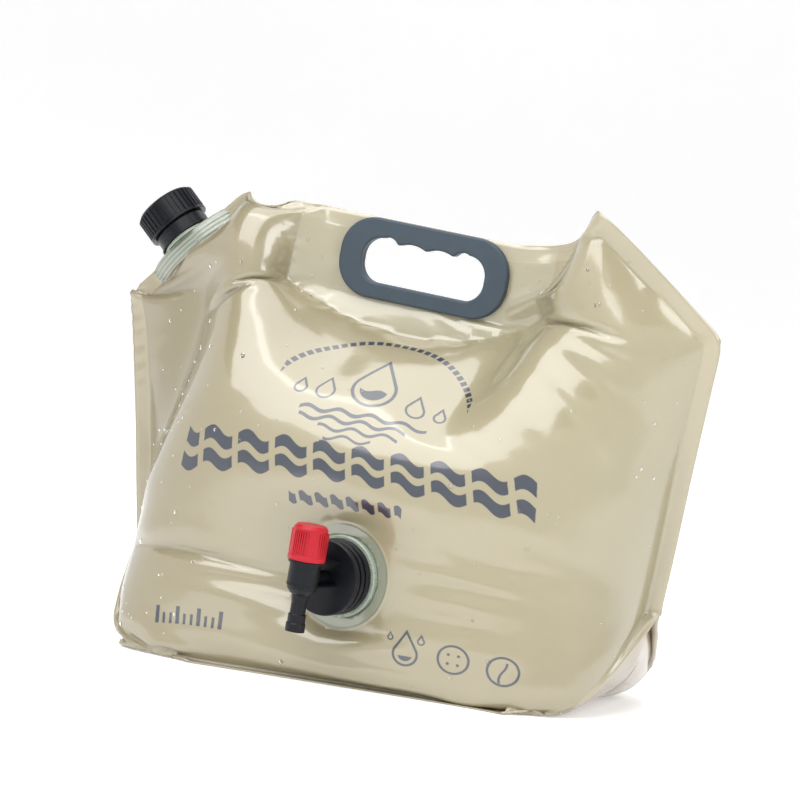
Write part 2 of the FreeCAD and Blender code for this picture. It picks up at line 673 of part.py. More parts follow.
def spout_fitment():
    """The moulded spout: a ribbed boat welded between the panels, and a threaded neck."""
    body = new_body("spout_fitment", SPOUT)
    hull = new_sketch(body, "boat_outline", "XY_Plane")
    draw_lens(hull, "boat_long / 2 - rib_proud", "boat_half")
    pad(body, hull, "boat_deep", reverse=True, name="boat")
    for index in range(3):
        lower = f"-boat_deep + {index} * 3 * rib_wide + 0.6"
        rib = new_sketch(body, f"rib_outline_{index + 1}", "XY_Plane", offset=lower)
        draw_lens(rib, "boat_long / 2", "boat_half + rib_proud")
        pad(body, rib, "rib_wide", name=f"weld_rib_{index + 1}")
    neck = new_sketch(body, "neck_profile", "XZ_Plane")
    draw_polygon(neck, [
        ("0", "0"), ("neck_foot", "0"), ("neck_foot", "neck_foot_wall - 0.4"),
        ("neck_foot - 0.4", "neck_foot_wall"), ("neck_root", "neck_foot_wall"),
        ("neck_root", "bead_place - 0.4"), ("neck_root + bead_proud", "bead_place"),
        ("neck_root", "bead_place + bead_proud"),
        ("neck_root", "neck_top - 0.8"), ("neck_root - 0.6", "neck_top"), ("0", "neck_top")])
    revolve(body, neck, "neck")
    ridge = [("neck_root - 0.3", "0"), ("neck_crest", "0.6"), ("neck_crest", "1.2"), ("neck_root - 0.3", "1.8")]
    helix_cut_or_ridge(body, "neck_thread", "Additive", ridge, "cap_base + 1.6", "2 * thread_pitch")
    bore = new_sketch(body, "neck_bore_circle", "XY_Plane")
    draw_circle(bore, "neck_bore")
    drill(body, bore, name="neck_bore_cut")
    return [body]


def spout_cap():
    """The screw cap with its grip ribs and an inner thread that fits the neck."""
    body = new_body("spout_cap", SPOUT)
    shell = new_sketch(body, "cap_profile", "XZ_Plane")
    bore = "neck_root + 0.6"
    ceiling = "neck_top + liner_wall + 0.1"
    draw_polygon(shell, [
        (bore, "cap_base"), ("cap_radius + 0.3", "cap_base"), ("cap_radius + cap_rib", "cap_base + 0.4"),
        ("cap_radius + cap_rib", "cap_base + 1.6"), ("cap_radius", "cap_base + 2"),
        ("cap_radius", "cap_top - 1.4"), ("cap_radius - 1.4", "cap_top"), ("0", "cap_top"),
        ("0", ceiling), (bore, ceiling)])
    revolve(body, shell, "cap_shell")
    # the groove is the neck's ridge, wider by the play on every side
    groove = [
        (f"{bore} - 0.4", "-0.95 * thread_play"), ("neck_crest + thread_play", "0.6 - thread_play"),
        ("neck_crest + thread_play", "1.2 + thread_play"), (f"{bore} - 0.4", "1.8 + 0.95 * thread_play")]
    before = body.Shape.Volume
    helix_cut_or_ridge(
        body, "cap_thread", "Subtractive", groove, "cap_base + 1.6 - thread_pitch", "3 * thread_pitch + 1")
    if not body.Shape.Volume < before - 10:
        raise RuntimeError("the cap thread cuts nothing")
    rib = new_sketch(body, "cap_rib_outline", "XY_Plane", offset="cap_base + 1.8")
    draw_polygon(rib, [
        ("cap_radius - 0.4", "-0.75"), ("cap_radius + cap_rib", "-0.45"),
        ("cap_radius + cap_rib", "0.45"), ("cap_radius - 0.4", "0.75")])
    one = pad(body, rib, "cap_top - cap_base - 3.4", name="cap_rib")
    ring = body.newObject("PartDesign::PolarPattern", "cap_rib_ring")
    ring.Originals = [one]
    ring.Axis = (rib, ["N_Axis"])
    ring.Angle = 360
    ring.Occurrences = int(size("cap_ribs"))
    body.Tip = ring
    doc.recompute()
    return [body]


def spout_rings():
    """The ring that stays on the neck when the cap comes off, and the sealing disc."""
    inner, lip = "neck_root + 1.1", "neck_root + 0.2"
    tamper = turned("tamper_ring", SPOUT, [
        (inner, "tamper_base"), ("tamper_radius + 1", "tamper_base"),
        ("tamper_radius + 1", "tamper_base + 0.8"),
        ("tamper_radius", "tamper_base + 1.2"), ("tamper_radius", "tamper_top - 0.4"),
        ("tamper_radius - 0.4", "tamper_top"), (inner, "tamper_top"),
        (inner, "bead_place - 0.5"), (lip, "bead_place - 0.8"), (lip, "bead_place - 2.4"),
        (inner, "bead_place - 2.9")])
    liner = turned("cap_liner", SPOUT, [
        ("0", "neck_top + 0.05"), ("neck_root + 0.4", "neck_top + 0.05"),
        ("neck_root + 0.4", "neck_top + liner_wall + 0.05"), ("0", "neck_top + liner_wall + 0.05")])
    return [tamper, liner]


# ---------------------------------------------------------------------------------- tap


def tap_gland_parts():
    """What holds the tap in the film: the welded flange, a gasket and the ringed gland."""
    front, rear = "-(film_wall + flange_gap)", "-(film_wall + flange_gap + flange_wall)"
    flange = turned("tap_flange", TAP, [
        ("collar_bore", rear), ("flange_radius - 0.5", rear), ("flange_radius", f"{front} - 0.5"),
        ("flange_radius", front), ("collar_radius", front), ("collar_radius", "collar_high - 0.8"),
        ("collar_radius - 0.8", "collar_high"), ("collar_bore", "collar_high")])
    gasket_top = "collar_high + gasket_wall"
    gasket = turned("gland_gasket", TAP, [
        ("collar_bore + 0.1", "collar_high + 0.05"), ("gland_radius - 0.4", "collar_high + 0.05"),
        ("gland_radius - 0.4", f"{gasket_top} - 0.05"), ("collar_bore + 0.1", f"{gasket_top} - 0.05")])
    spigot, cavity, hole = "collar_bore - 0.1", "collar_bore - 3", "inlet_radius + swivel_play"
    plate, socket = "gland_face - gland_plate", "retain_radius + 0.15"
    grooves = []
    for start in ("groove_place", "groove_place + groove_pitch"):
        grooves += [
            ("gland_radius", start), ("gland_radius - 0.5", f"{start} + 0.5"),
            ("gland_waist", f"{start} + 0.8"),
            ("gland_waist", f"{start} + groove_wide - 0.8"),
            ("gland_radius - 0.3", f"{start} + groove_wide - 0.5"), ("gland_radius", f"{start} + groove_wide")]
    gland = turned("tap_gland", TAP, [
        (cavity, rear), (spigot, rear), (spigot, gasket_top), ("gland_radius", gasket_top),
        *grooves, ("gland_radius", "gland_face - 0.7"), ("gland_radius - 0.7", "gland_face"),
        (hole, "gland_face"), (hole, plate), (socket, plate), (socket, "retain_place"),
        (f"{socket} + 2", "retain_place"), (f"{socket} + 2", plate), (cavity, plate)])
    return [flange, gasket, gland]


def tap_body():
    """The swivelling body: inlet pipe, barrel, plates and a three-tier hose outlet."""
    body = new_body("tap_body", BARREL)
    top = "barrel_up + bonnet_wall"
    tail = "-(barrel_down + outlet_neck)"
    barrel = new_sketch(body, "barrel_profile", "XZ_Plane")
    draw_polygon(barrel, [
        ("0", "barrel_up"), ("barrel_radius", "barrel_up"), ("barrel_radius", "-3"),
        ("barrel_radius - 0.7", "-5.6"), ("barrel_radius - 2.4", "-7.8"), ("barrel_radius - 4", "-barrel_down"),
        ("barb_slim - 0.1", tail), ("barb_slim", tail), ("barb_slim", f"{tail} - barb_step"),
        ("barb_mid", f"{tail} - barb_step - 0.8"), ("barb_mid", f"{tail} - 2 * barb_step"),
        ("barb_full", f"{tail} - 2 * barb_step - 0.8"), ("barb_full", f"{tail} - 3 * barb_step"),
        ("0", f"{tail} - 3 * barb_step")])
    revolve(body, barrel, "barrel")
    pipe = new_sketch(body, "inlet_circle", "XZ_Plane")
    draw_circle(pipe, "inlet_radius")
    pad(body, pipe, "barrel_place - tail_end", reverse=True, name="inlet_pipe")
    collar = new_sketch(body, "retain_circle", "XZ_Plane", offset="-(barrel_place - retain_place)")
    draw_circle(collar, "retain_radius")
    pad(body, collar, "retain_wall", name="retain_collar")
    reach = "barrel_place - gland_face - plate_gap"
    for name, lower, wall, half in (
            ("top_plate", "barrel_up", "bonnet_wall", "plate_half"),
            ("lower_rib", "-inlet_radius + 1", "rib_wall", "barrel_radius + 0.3")):
        plate = new_sketch(body, name + "_outline", "XY_Plane", offset=lower)
        bow = size(half)
        draw_arc(plate, (f"-({half})", "0"), (half, "0"), -bow * HALF_TURN)
        draw_line(plate, (half, "0"), (half, reach))
        draw_line(plate, (half, reach), (f"-({half})", reach))
        draw_line(plate, (f"-({half})", reach), (f"-({half})", "0"))
        pad(body, plate, wall, name=name)
    chamber = new_sketch(body, "chamber_circle", "XY_Plane", offset="-seat_rise")
    draw_circle(chamber, "chamber_radius")
    drill(body, chamber, both_ways=False, depth=f"{top} + seat_rise + 0.5", reverse=True, name="chamber")
    outlet = new_sketch(body, "outlet_circle", "XY_Plane")
    draw_circle(outlet, "outlet_bore")
    outlet_depth = "barrel_down + outlet_neck + 3 * barb_step + 1"
    drill(body, outlet, both_ways=False, depth=outlet_depth, name="outlet_cut")
    inlet = new_sketch(body, "inlet_bore_circle", "XZ_Plane")
    draw_circle(inlet, "inlet_bore")
    drill(body, inlet, both_ways=False, depth="barrel_place", name="inlet_cut")
    return [body]


def valve_parts():
    """The bonnet, the two O-rings, the washer and the stem."""
    top = "barrel_up + bonnet_wall"
    groove, bore = "stem_radius + 1.6", "stem_radius + 0.05"
    roof = "stem_groove + stem_groove_high"
    stem_ring_place = size("stem_groove + stem_groove_high / 2")
    inlet_ring_place = (size("retain_place + retain_wall") + size("gland_face - gland_plate")) / 2
    bonnet = turned("tap_bonnet", BARREL, [
        (bore, "bonnet_low"), ("chamber_radius - 0.1", "bonnet_low"),
        ("chamber_radius - 0.1", top), (bore, top),
        (bore, roof), (groove, roof), (groove, "stem_groove"), (bore, "stem_groove")])
    rings = []
    for label, place, inside, wire, height in (
            ("stem_o_ring", BARREL, "stem_radius", "stem_ring_wire", stem_ring_place),
            ("inlet_o_ring", LEANED, "inlet_radius", "inlet_ring_wire", inlet_ring_place)):
        ring = doc.addObject("Part::Torus", label)
        ring.Label = label
        ring.setExpression("Radius1", bound(f"{inside} + {wire} + ring_play"))
        ring.setExpression("Radius2", bound(wire))
        ring.Placement = place.multiply(Placement(Vector(0, 0, height), Rotation()))
        rings.append(ring)
    seat = "-seat_rise + 0.02"
    plug = turned("valve_washer", BARREL, [
        ("1.25", seat), ("chamber_radius - 0.8", seat), ("chamber_radius - 0.8", f"{seat} + plug_wall"),
        ("1.25", f"{seat} + plug_wall")])
    stem_top = "knob_base + knob_high - knob_roof"
    stem = turned("valve_stem", BARREL, [
        ("0", f"{seat} + 0.4"), ("1.2", f"{seat} + 0.4"), ("1.2", f"{seat} + plug_wall + 0.02"),
        ("stem_radius", f"{seat} + plug_wall + 0.02"), ("stem_radius", stem_top), ("0", stem_top)])
    return [bonnet, plug, stem] + rings


def tap_knob():
    """The knob, a hollow cap on the stem, with groups of fine grip ribs between smooth lands."""
    body = new_body("tap_knob", BARREL)
    top = "knob_base + knob_high"
    ceiling = f"{top} - knob_roof"
    shell = new_sketch(body, "knob_profile", "XZ_Plane")
    draw_polygon(shell, [
        ("knob_radius - 1.6", "knob_base"), ("knob_radius", "knob_base"), ("knob_radius", "knob_base + 2.6"),
        ("knob_radius - 0.3", "knob_base + 3"),
        ("knob_slim", f"{top} - 3"), ("knob_slim - 0.1", f"{top} - 1.8"),
        ("knob_slim - 1.7", top), ("0", top), ("0", ceiling), ("stem_radius", ceiling),
        ("stem_radius", "knob_base + 1.5"), ("stem_radius + 2", "knob_base + 1.5"),
        ("stem_radius + 2", ceiling),
        ("knob_radius - 2.4", ceiling)])
    revolve(body, shell, "knob_shell")
    ribs = new_sketch(body, "knob_rib_outlines", "XY_Plane", offset="knob_base + 3.2")
    crest, root = "(knob_radius - 0.05)", "(knob_slim - 0.6)"
    crest_half, root_half = 2, 2.6    # half the angle that a rib takes at its crest and root
    count = int(size("knob_ribs"))
    for index in range(count):
        turn = (index - (count - 1) / 2) * size("knob_rib_turn")
        corners = [(crest, -crest_half), (crest, crest_half), (root, root_half), (root, -root_half)]
        draw_polygon(ribs, [
            (f"{radius} * cos({turn + shift})", f"{radius} * sin({turn + shift})")
            for radius, shift in corners])
    group = pad(body, ribs, "knob_high - 6.6", name="knob_rib_group")
    ring = body.newObject("PartDesign::PolarPattern", "knob_rib_ring")
    ring.Originals = [group]
    ring.Axis = (ribs, ["N_Axis"])
    ring.Angle = 360
    ring.Occurrences = int(size("knob_groups"))
    body.Tip = ring
    doc.recompute()
    return [body]


# ------------------------------------------------------------------------- build, check, write

sub_parts = film_panels() + bottom_gusset()
sub_parts += handle_half("handle_front", True) + handle_half("handle_rear", False)
sub_parts += spout_fitment() + spout_cap() + spout_rings()
sub_parts += tap_gland_parts() + tap_body() + valve_parts() + tap_knob()
doc.recompute()

for item in doc.Objects:
    if "Invalid" in item.State or "Error" in item.State:
        raise RuntimeError(f"{item.Label} failed: {item.State}")
for item in sub_parts:
    if item.Shape.isNull() or not item.Shape.isValid() or item.Shape.Volume <= 0:
        raise RuntimeError(f"{item.Label} has no good shape")

os.makedirs("parts", exist_ok=True)
for item in sub_parts:
    item.Shape.exportStep(f"parts/{item.Label}.step")
    print(f"{item.Label}: {len(item.Shape.Solids)} solid, {item.Shape.Volume / 1000:.2f} cm3")
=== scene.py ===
"""The looks of the folding water bag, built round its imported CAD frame."""

import json
import math

import bpy
import numpy as np
from mathutils import Matrix, Vector


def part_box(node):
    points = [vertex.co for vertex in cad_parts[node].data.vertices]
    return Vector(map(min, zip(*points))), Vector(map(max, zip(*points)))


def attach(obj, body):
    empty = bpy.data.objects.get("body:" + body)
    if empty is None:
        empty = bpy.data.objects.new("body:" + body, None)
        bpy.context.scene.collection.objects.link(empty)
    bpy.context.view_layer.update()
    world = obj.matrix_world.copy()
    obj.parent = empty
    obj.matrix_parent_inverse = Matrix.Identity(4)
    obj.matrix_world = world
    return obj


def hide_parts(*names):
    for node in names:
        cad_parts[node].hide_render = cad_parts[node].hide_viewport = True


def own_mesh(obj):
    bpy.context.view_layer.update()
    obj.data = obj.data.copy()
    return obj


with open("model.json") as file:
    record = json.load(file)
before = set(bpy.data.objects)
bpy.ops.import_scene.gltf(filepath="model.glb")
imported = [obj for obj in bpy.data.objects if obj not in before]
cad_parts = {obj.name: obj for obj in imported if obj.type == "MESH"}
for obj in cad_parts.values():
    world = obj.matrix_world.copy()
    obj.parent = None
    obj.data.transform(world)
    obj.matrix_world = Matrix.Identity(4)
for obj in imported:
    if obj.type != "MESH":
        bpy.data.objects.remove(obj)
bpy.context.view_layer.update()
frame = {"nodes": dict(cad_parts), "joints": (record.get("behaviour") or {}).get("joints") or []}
MM = 0.001
JOINTS = {joint["name"]: joint for joint in frame["joints"]}

# ------------------------------------------------------------ flat pattern of the film, mm
# Heights are measured up the flat panel from its bottom edge, widths from its middle.
FOOT_WIDTH, SPLIT_WIDTH, SHOULDER_WIDTH, TOP_WIDTH = 132.0, 192.0, 210.0, 136.0
SPLIT_HIGH, SHOULDER_HIGH, TOP_HIGH = 100.0, 254.0, 328.0
BAND = 10.0
SHOULDER_ROUND, SPLIT_ROUND, CORNER_ROUND = 22.0, 12.0, 20.0
HANDLE_HIGH, TAP_HIGH = 303.0, 80.0
HANDLE_TILT = math.radians(4.7)
TAP_TURN = math.radians(8)
BOAT_LONG, BOAT_HALF, BOAT_DEEP = 61.0, 13.7, 9.2     # the spout's weld base
BOAT_ACROSS, BOAT_HIGH = -171.0, 293.0     # the middle of the spout's base on the cut corner's edge
GRIP_LONG, GRIP_HIGH, GRIP_ROUND, GRIP_DROP = 83.0, 29.7, 13.0, 0.9
TAP_HOLE, FLANGE_REACH = 24.9, 31.5
HANDLE_HOLD, FLANGE_HOLD = (57, 26), 33.5     # film held in the handle, half sizes, and by the flange, radius
BOAT_HOLD = (16, 1.5)     # how far film is held past the spout's base, along it and inwards
ZONE_HALF, ZONE_DROP, ZONE_CURVE = 84, 44, 0.00244     # the welded zone round the handle
FOOT_CUT, FOOT_SEAM = 42, 9     # the welded corners and seam of the foot
FILM_WALL = 0.3
ROWS, COLUMNS = (10, 16, 7), 38     # cells of the coarsest grid


def place(node_names):
    """The middle of some CAD nodes' common box, mm."""
    corners = [np.array(corner) for name in node_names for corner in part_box(name)]
    return (np.min(corners, 0) + np.max(corners, 0)) / 2 / MM


HANDLE_AT = place(["handle_front", "handle_rear"]) * np.array([1, 0, 1])
SPOUT_AT = np.array(JOINTS["cap_turn"]["pos_m"]) / MM
TAP_AT = np.array(JOINTS["tap_swivel"]["pos_m"]) / MM


def rounded(width, high, corner, below, above, radius):
    """The half width with the corner at (height, half width) eased by a curve; below and above are the slopes."""
    place_high, place_width = corner
    cut = radius * math.tan(abs(math.atan(below) - math.atan(above)) / 2)
    low_cut, top_cut = cut / math.hypot(1, below), cut / math.hypot(1, above)
    start, end = place_high - low_cut, place_high + top_cut
    bend = start - 2 * place_high + end
    lean = 2 * (place_high - start)
    if abs(bend) < 1e-9:
        share = (high - start) / lean
    else:
        share = (-lean + np.sqrt(np.maximum(lean * lean - 4 * bend * (start - high), 0))) / (2 * bend)
    near, far = place_width - below * low_cut, place_width + above * top_cut
    curve = (1 - share) ** 2 * near + 2 * share * (1 - share) * place_width + share ** 2 * far
    return np.where((high > start) & (high < end), curve, width)


def flat_half(high):
    """Half the width of a flat panel at a height."""
    high = np.asarray(high, float)
    width = np.interp(
        high, [0, SPLIT_HIGH, SHOULDER_HIGH, TOP_HIGH], [FOOT_WIDTH, SPLIT_WIDTH, SHOULDER_WIDTH, TOP_WIDTH])
    low_slope = (SPLIT_WIDTH - FOOT_WIDTH) / SPLIT_HIGH
    side_slope = (SHOULDER_WIDTH - SPLIT_WIDTH) / (SHOULDER_HIGH - SPLIT_HIGH)
    width = rounded(width, high, (SHOULDER_HIGH, SHOULDER_WIDTH), side_slope, -1.0, SHOULDER_ROUND)
    width = rounded(width, high, (SPLIT_HIGH, SPLIT_WIDTH), low_slope, side_slope, SPLIT_ROUND)
    centre_high = TOP_HIGH - CORNER_ROUND
    centre_width = TOP_WIDTH + CORNER_ROUND - CORNER_ROUND * math.sqrt(2)
    arc = centre_width + np.sqrt(np.maximum(CORNER_ROUND ** 2 - (high - centre_high) ** 2, 0))
    width = np.where(high > centre_high + CORNER_ROUND * math.sqrt(0.5), arc, width)
    return np.where(high >= TOP_HIGH - 1e-6, centre_width + 0.28 * CORNER_ROUND, width)


def flat_grid(level):
    """Widths and heights of the panel's grid, and the row of the gusset's fold; each level halves the cells."""
    halving = 2 ** level
    marks = [0, SPLIT_HIGH, SHOULDER_HIGH, TOP_HIGH]
    heights = [np.array([0.0])]
    for cells, low, top in zip(ROWS, marks, marks[1:]):
        heights.append(np.linspace(low, top, cells * halving + 1)[1:])
    high = np.concatenate(heights)
    half = flat_half(high)[:, None]
    core = np.linspace(-1, 1, COLUMNS * halving + 1)[None] * (half - BAND)
    edge = BAND * np.arange(halving)[None] / halving
    across = np.hstack([-half + edge, core, (half - edge)[:, ::-1]])
    return across, np.repeat(high[:, None], across.shape[1], 1), ROWS[0] * halving


# ----------------------------------------------------------------- film simulation, mm
ACROSS_45 = math.sqrt(0.5)
# Where the outline's corners and the feet of the filled bag are drawn to, in the CAD's frame.
CORNERS = {
    "right shoulder": (199, -18, 229), "right top": (124, -44, 298), "left shoulder": (-196, 0, 214),
    "left top": (-120, 0, 284), "left split": (-178, 0, 62), "right split": (176, 0, 60)}
FEET = {
    "front left": (-132, -66, 3), "front right": (112, -72, 0.5),
    "rear left": (-131, 58, 5), "rear right": (106, 34, 10)}
# The share of the way that they are drawn in each round.
CORNER_PULL = {"split": 0.2, "shoulder": 0.25, "top": 0.12}
SIDE_PULL, SLANT_PULL, FOOT_PULL = 0.04, 0.12, 0.8
# Lines on the flat front panel that stand out or fall in: two ends, width, strength.
FOLDS = [
    ((-118, 324), (-104, 268), 13, 1.6), ((-112, 300), (-82, 190), 17, 1.4),
    ((-158, 262), (-152, 150), 13, -1.4), ((-70, 300), (-30, 215), 14, -0.8),
    ((99, 320), (40, 185), 13, -1.6), ((132, 317), (75, 170), 18, 1.1)]
# The push is AIR, and one more for each HEAD mm below the water's level; the stops limit the bag's depth.
PRESSURE, STEP_SHARE, AIR, WATER_LEVEL, HEAD, MOST_HEAD = 0.9, 0.6, 0.38, 185.0, 150, 1.3
FRONT_STOP, FRONT_GIVE, REAR_STOP, REAR_GIVE = 90.0, 25, 92.0, 30
SAG, DRAG, MOST_SPEED = 0.004, 0.96, 6.0
RAMP_STEPS, GRIP_STEPS, FIRST_GRIP = 80, 60, 0.02
PANEL_FLOOR, GUSSET_FLOOR = 0.35, 0.7
PANEL_GAP, GUSSET_GAP = 0.4, 0.3     # the least distance between two layers
BENDING = (0.05, 0.04, 0.03)     # stiffness across two cells, by level
COARSE_CELL = 10
# Level of the grid, steps and rounds in each step.
LEVELS = (((0, 200, 8), (1, 90, 8), (2, 30, 8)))


def cross(a, b):
    """Cross products along the last axis."""
    return np.stack([
        a[..., 1] * b[..., 2] - a[..., 2] * b[..., 1],
        a[..., 2] * b[..., 0] - a[..., 0] * b[..., 2],
        a[..., 0] * b[..., 1] - a[..., 1] * b[..., 0]], -1)


def area_vectors(points):
    """The share of the surface's area vector at each grid point."""
    rise = points[1:, 1:] - points[:-1, :-1]
    fall = points[1:, :-1] - points[:-1, 1:]
    quarter = cross(rise, fall) / 8
    total = np.zeros_like(points)
    for rows in (slice(0, -1), slice(1, None)):
        for columns in (slice(0, -1), slice(1, None)):
            total[rows, columns] += quarter
    return total


def film_links(flat, bend):
    """Groups of grid links that share no point: two slices, rest lengths, stretch and squeeze stiffness."""
    rows, columns = flat.shape[:2]
    found = []

    def add(a, b, stretch, squeeze):
        found.append((a, b, np.linalg.norm(flat[a] - flat[b], axis=-1), stretch, squeeze))

    for gap in (1, 2):
        stretch, squeeze = (1.0, 0.5) if gap == 1 else (bend, bend)
        for first in range(2 * gap):
            for total, along_rows in ((columns, False), (rows, True)):
                count = len(range(first, total - gap, 2 * gap))
                if not count:
                    continue
                last = first + 2 * gap * (count - 1) + 1
                near, far = slice(first, last, 2 * gap), slice(first + gap, last + gap, 2 * gap)
                a, b = (near, slice(None)), (far, slice(None))
                if not along_rows:
                    a, b = a[::-1], b[::-1]
                add(a, b, stretch, squeeze)
    for first in range(2):
        count = len(range(first, rows - 1, 2))
        last = first + 2 * (count - 1) + 1
        near, far = slice(first, last, 2), slice(first + 1, last + 1, 2)
        for a, b in ((slice(0, -1), slice(1, None)), (slice(1, None), slice(0, -1))):
            add((near, a), (far, b), 0.6, 0.3)
    return found


def pull(points, links):
    """Moves linked points towards their rest distance."""
    for a, b, rest, stretch, squeeze in links:
        one, two = points[a], points[b]
        apart = two - one
        length = np.sqrt((apart * apart).sum(-1)) + 1e-9
        error = (length - rest) / length
        shift = apart * (error * np.where(error > 0, 0.5 * stretch, 0.5 * squeeze))[..., None]
        one += shift
        two -= shift


def handle_point(across, high):
    """Where the film held in the handle stands."""
    right = np.array([math.cos(HANDLE_TILT), 0, -math.sin(HANDLE_TILT)])
    up = np.array([math.sin(HANDLE_TILT), 0, math.cos(HANDLE_TILT)])
    return HANDLE_AT + across[..., None] * right + (high - HANDLE_HIGH)[..., None] * up


def tap_point(across, high):
    """Where the film welded to the tap's flange stands."""
    right = np.array([math.cos(TAP_TURN), -math.sin(TAP_TURN), 0])
    return TAP_AT + across[..., None] * right + (high - TAP_HIGH)[..., None] * np.array([0, 0, 1.0])


def boat_reach(across, high):
    """Along the cut corner's edge from the spout's middle, and inwards from that edge."""
    along = ((across - BOAT_ACROSS) + (high - BOAT_HIGH)) * ACROSS_45
    inward = ((across - BOAT_ACROSS) - (high - BOAT_HIGH)) * ACROSS_45
    return along, inward


def boat_lens(along):
    """Half the thickness of the spout's weld base along it."""
    radius = (BOAT_LONG ** 2 / 4 + BOAT_HALF ** 2) / (2 * BOAT_HALF)
    return np.maximum(np.sqrt(np.maximum(radius ** 2 - along ** 2, 0)) - (radius - BOAT_HALF), 0)


class Film:
    """The two panels and the gusset at one grid size, with their welds and the places that hold them."""

    def __init__(self, level):
        across, high, fold = flat_grid(level)
        self.level, self.across, self.high, self.fold = level, across, high, fold
        self.cell = COARSE_CELL / 2 ** level
        self.flat = np.stack([across, high], -1)
        low = self.flat[:fold + 1]
        rear_half = low[:-1][::-1] * np.array([1, -1]) + np.array([0, 2 * SPLIT_HIGH])
        self.gusset_flat = np.concatenate([low, rear_half])
        half = flat_half(high)
        slant = (SHOULDER_WIDTH + SHOULDER_HIGH - np.abs(across) - high) * ACROSS_45
        self.edge = np.minimum(np.minimum(half - np.abs(across), slant), TOP_HIGH - high)
        handle_zone = (np.abs(across) < ZONE_HALF) & (high > HANDLE_HIGH - ZONE_DROP + ZONE_CURVE * across ** 2)
        banded = self.edge <= BAND + 0.3
        self.weld = banded | handle_zone
        self.weld[:fold] = False
        corner = (half - np.abs(across)) + high <= FOOT_CUT
        self.foot_weld = ((high <= FOOT_SEAM) | banded | corner)[:fold + 1]
        self.hold_places()
        self.push = np.zeros_like(across)
        for start, end, width, strength in FOLDS:
            way = np.array(end, float) - start
            share = np.clip(((self.flat - start) @ way) / (way @ way), 0, 1)
            off = np.linalg.norm(self.flat - start - share[..., None] * way, axis=-1)
            self.push += strength * np.exp(-(off / width) ** 2)
        self.links = film_links(self.flat, BENDING[level])
        self.gusset_links = film_links(self.gusset_flat, BENDING[level])

    def hold_places(self):
        """Film that the handle, the spout and the tap's flange hold at its place."""
        across, high = self.across, self.high
        held = (np.abs(across) <= HANDLE_HOLD[0]) & (np.abs(high - HANDLE_HIGH) <= HANDLE_HOLD[1])
        target = handle_point(across[held], high[held])
        self.held = [(0, held, target), (1, held, target)]
        along, inward = boat_reach(across, high)
        lens = boat_lens(along)
        near = (np.abs(along) <= BOAT_LONG / 2 + BOAT_HOLD[0]) & (inward <= BOAT_DEEP + BOAT_HOLD[1])
        held = near & (across < 0)
        spot = SPOUT_AT + along[held][:, None] * np.array([ACROSS_45, 0, ACROSS_45])
        spot = spot + inward[held][:, None] * np.array([ACROSS_45, 0, -ACROSS_45])
        for side, facing in ((0, -1), (1, 1)):
            self.held.append((side, held, spot + (facing * lens[held])[:, None] * np.array([0, 1, 0])))
        self.weld &= ~(held & (lens > 0.5))
        held = np.hypot(across, high - TAP_HIGH) <= FLANGE_HOLD
        self.held.append((0, held, tap_point(across[held], high[held])))
        self.draw_places()

    def draw_places(self):
        """Grid points of the outline that are drawn softly to a place: side, row, column, target and pull."""
        last_row, last = self.across.shape[0] - 1, self.across.shape[1] - 1
        shoulder = (ROWS[0] + ROWS[1]) * 2 ** self.level
        rows = {"shoulder": shoulder, "top": last_row, "split": self.fold}
        columns = {"left": 0, "right": last}
        self.drawn = []

        def draw_edge(hand, lower, upper, strength):
            low, top = rows[lower], rows[upper]
            low_spot, top_spot = np.array(CORNERS[f"{hand} {lower}"]), np.array(CORNERS[f"{hand} {upper}"])
            for row in range(low + 1, top):
                share = (row - low) / (top - low)
                target = low_spot * (1 - share) + top_spot * share
                self.drawn += [(side, row, columns[hand], target, strength) for side in (0, 1)]

        for name, target in CORNERS.items():
            hand, height = name.split()
            spot = rows[height], columns[hand], np.array(target), CORNER_PULL[height]
            self.drawn += [(side, *spot) for side in (0, 1)]
        draw_edge("left", "split", "shoulder", SIDE_PULL)
        draw_edge("right", "split", "shoulder", SIDE_PULL)
        draw_edge("right", "shoulder", "top", SLANT_PULL)
        for name, target in FEET.items():
            layer, hand = name.split()
            self.drawn.append((int(layer == "rear"), 0, columns[hand], np.array(target), FOOT_PULL))

    def start(self):
        """A half opened bag."""
        across, high = self.across, self.high
        rise = high * 284 / TOP_HIGH
        lens = np.clip(1 - (across / 190) ** 2, 0, 1)
        opened = lens * np.clip(np.interp(high, [0, 80, 250], [0.75, 1, 0]), 0, 1)
        front = np.stack([0.97 * across, -1 - 45 * opened, rise], -1)
        panels = np.stack([front, front * np.array([1, -1, 1])])
        low = panels[:, :self.fold + 1]
        gusset = np.concatenate([low[0], low[1][:-1][::-1]])
        share = np.concatenate([np.arange(self.fold + 1), np.arange(self.fold)[::-1]]) / self.fold
        gusset[..., 1] *= (1 - 0.9 * share)[:, None]
        return panels, gusset

    def join(self, panels, gusset):
        """Welds, contact between the layers, the held places and the floor."""
        fold = self.fold
        middle = (panels[0][self.weld] + panels[1][self.weld]) / 2
        panels[0][self.weld] = middle
        panels[1][self.weld] = middle
        for side, rows, facing in ((0, slice(0, fold + 1), 1), (1, slice(2 * fold, fold - 1, -1), -1)):
            panel, inner = panels[side][:fold + 1], gusset[rows]
            middle = (panel[self.foot_weld] + inner[self.foot_weld]) / 2
            panel[self.foot_weld] = middle
            inner[self.foot_weld] = middle
            over = np.maximum(facing * (panel[..., 1] - inner[..., 1]) + GUSSET_GAP, 0) * ~self.foot_weld
            panel[..., 1] -= facing * over / 2
            inner[..., 1] += facing * over / 2
        over = np.maximum(panels[0][..., 1] - panels[1][..., 1] + PANEL_GAP, 0) * ~self.weld
        panels[0][..., 1] -= over / 2
        panels[1][..., 1] += over / 2

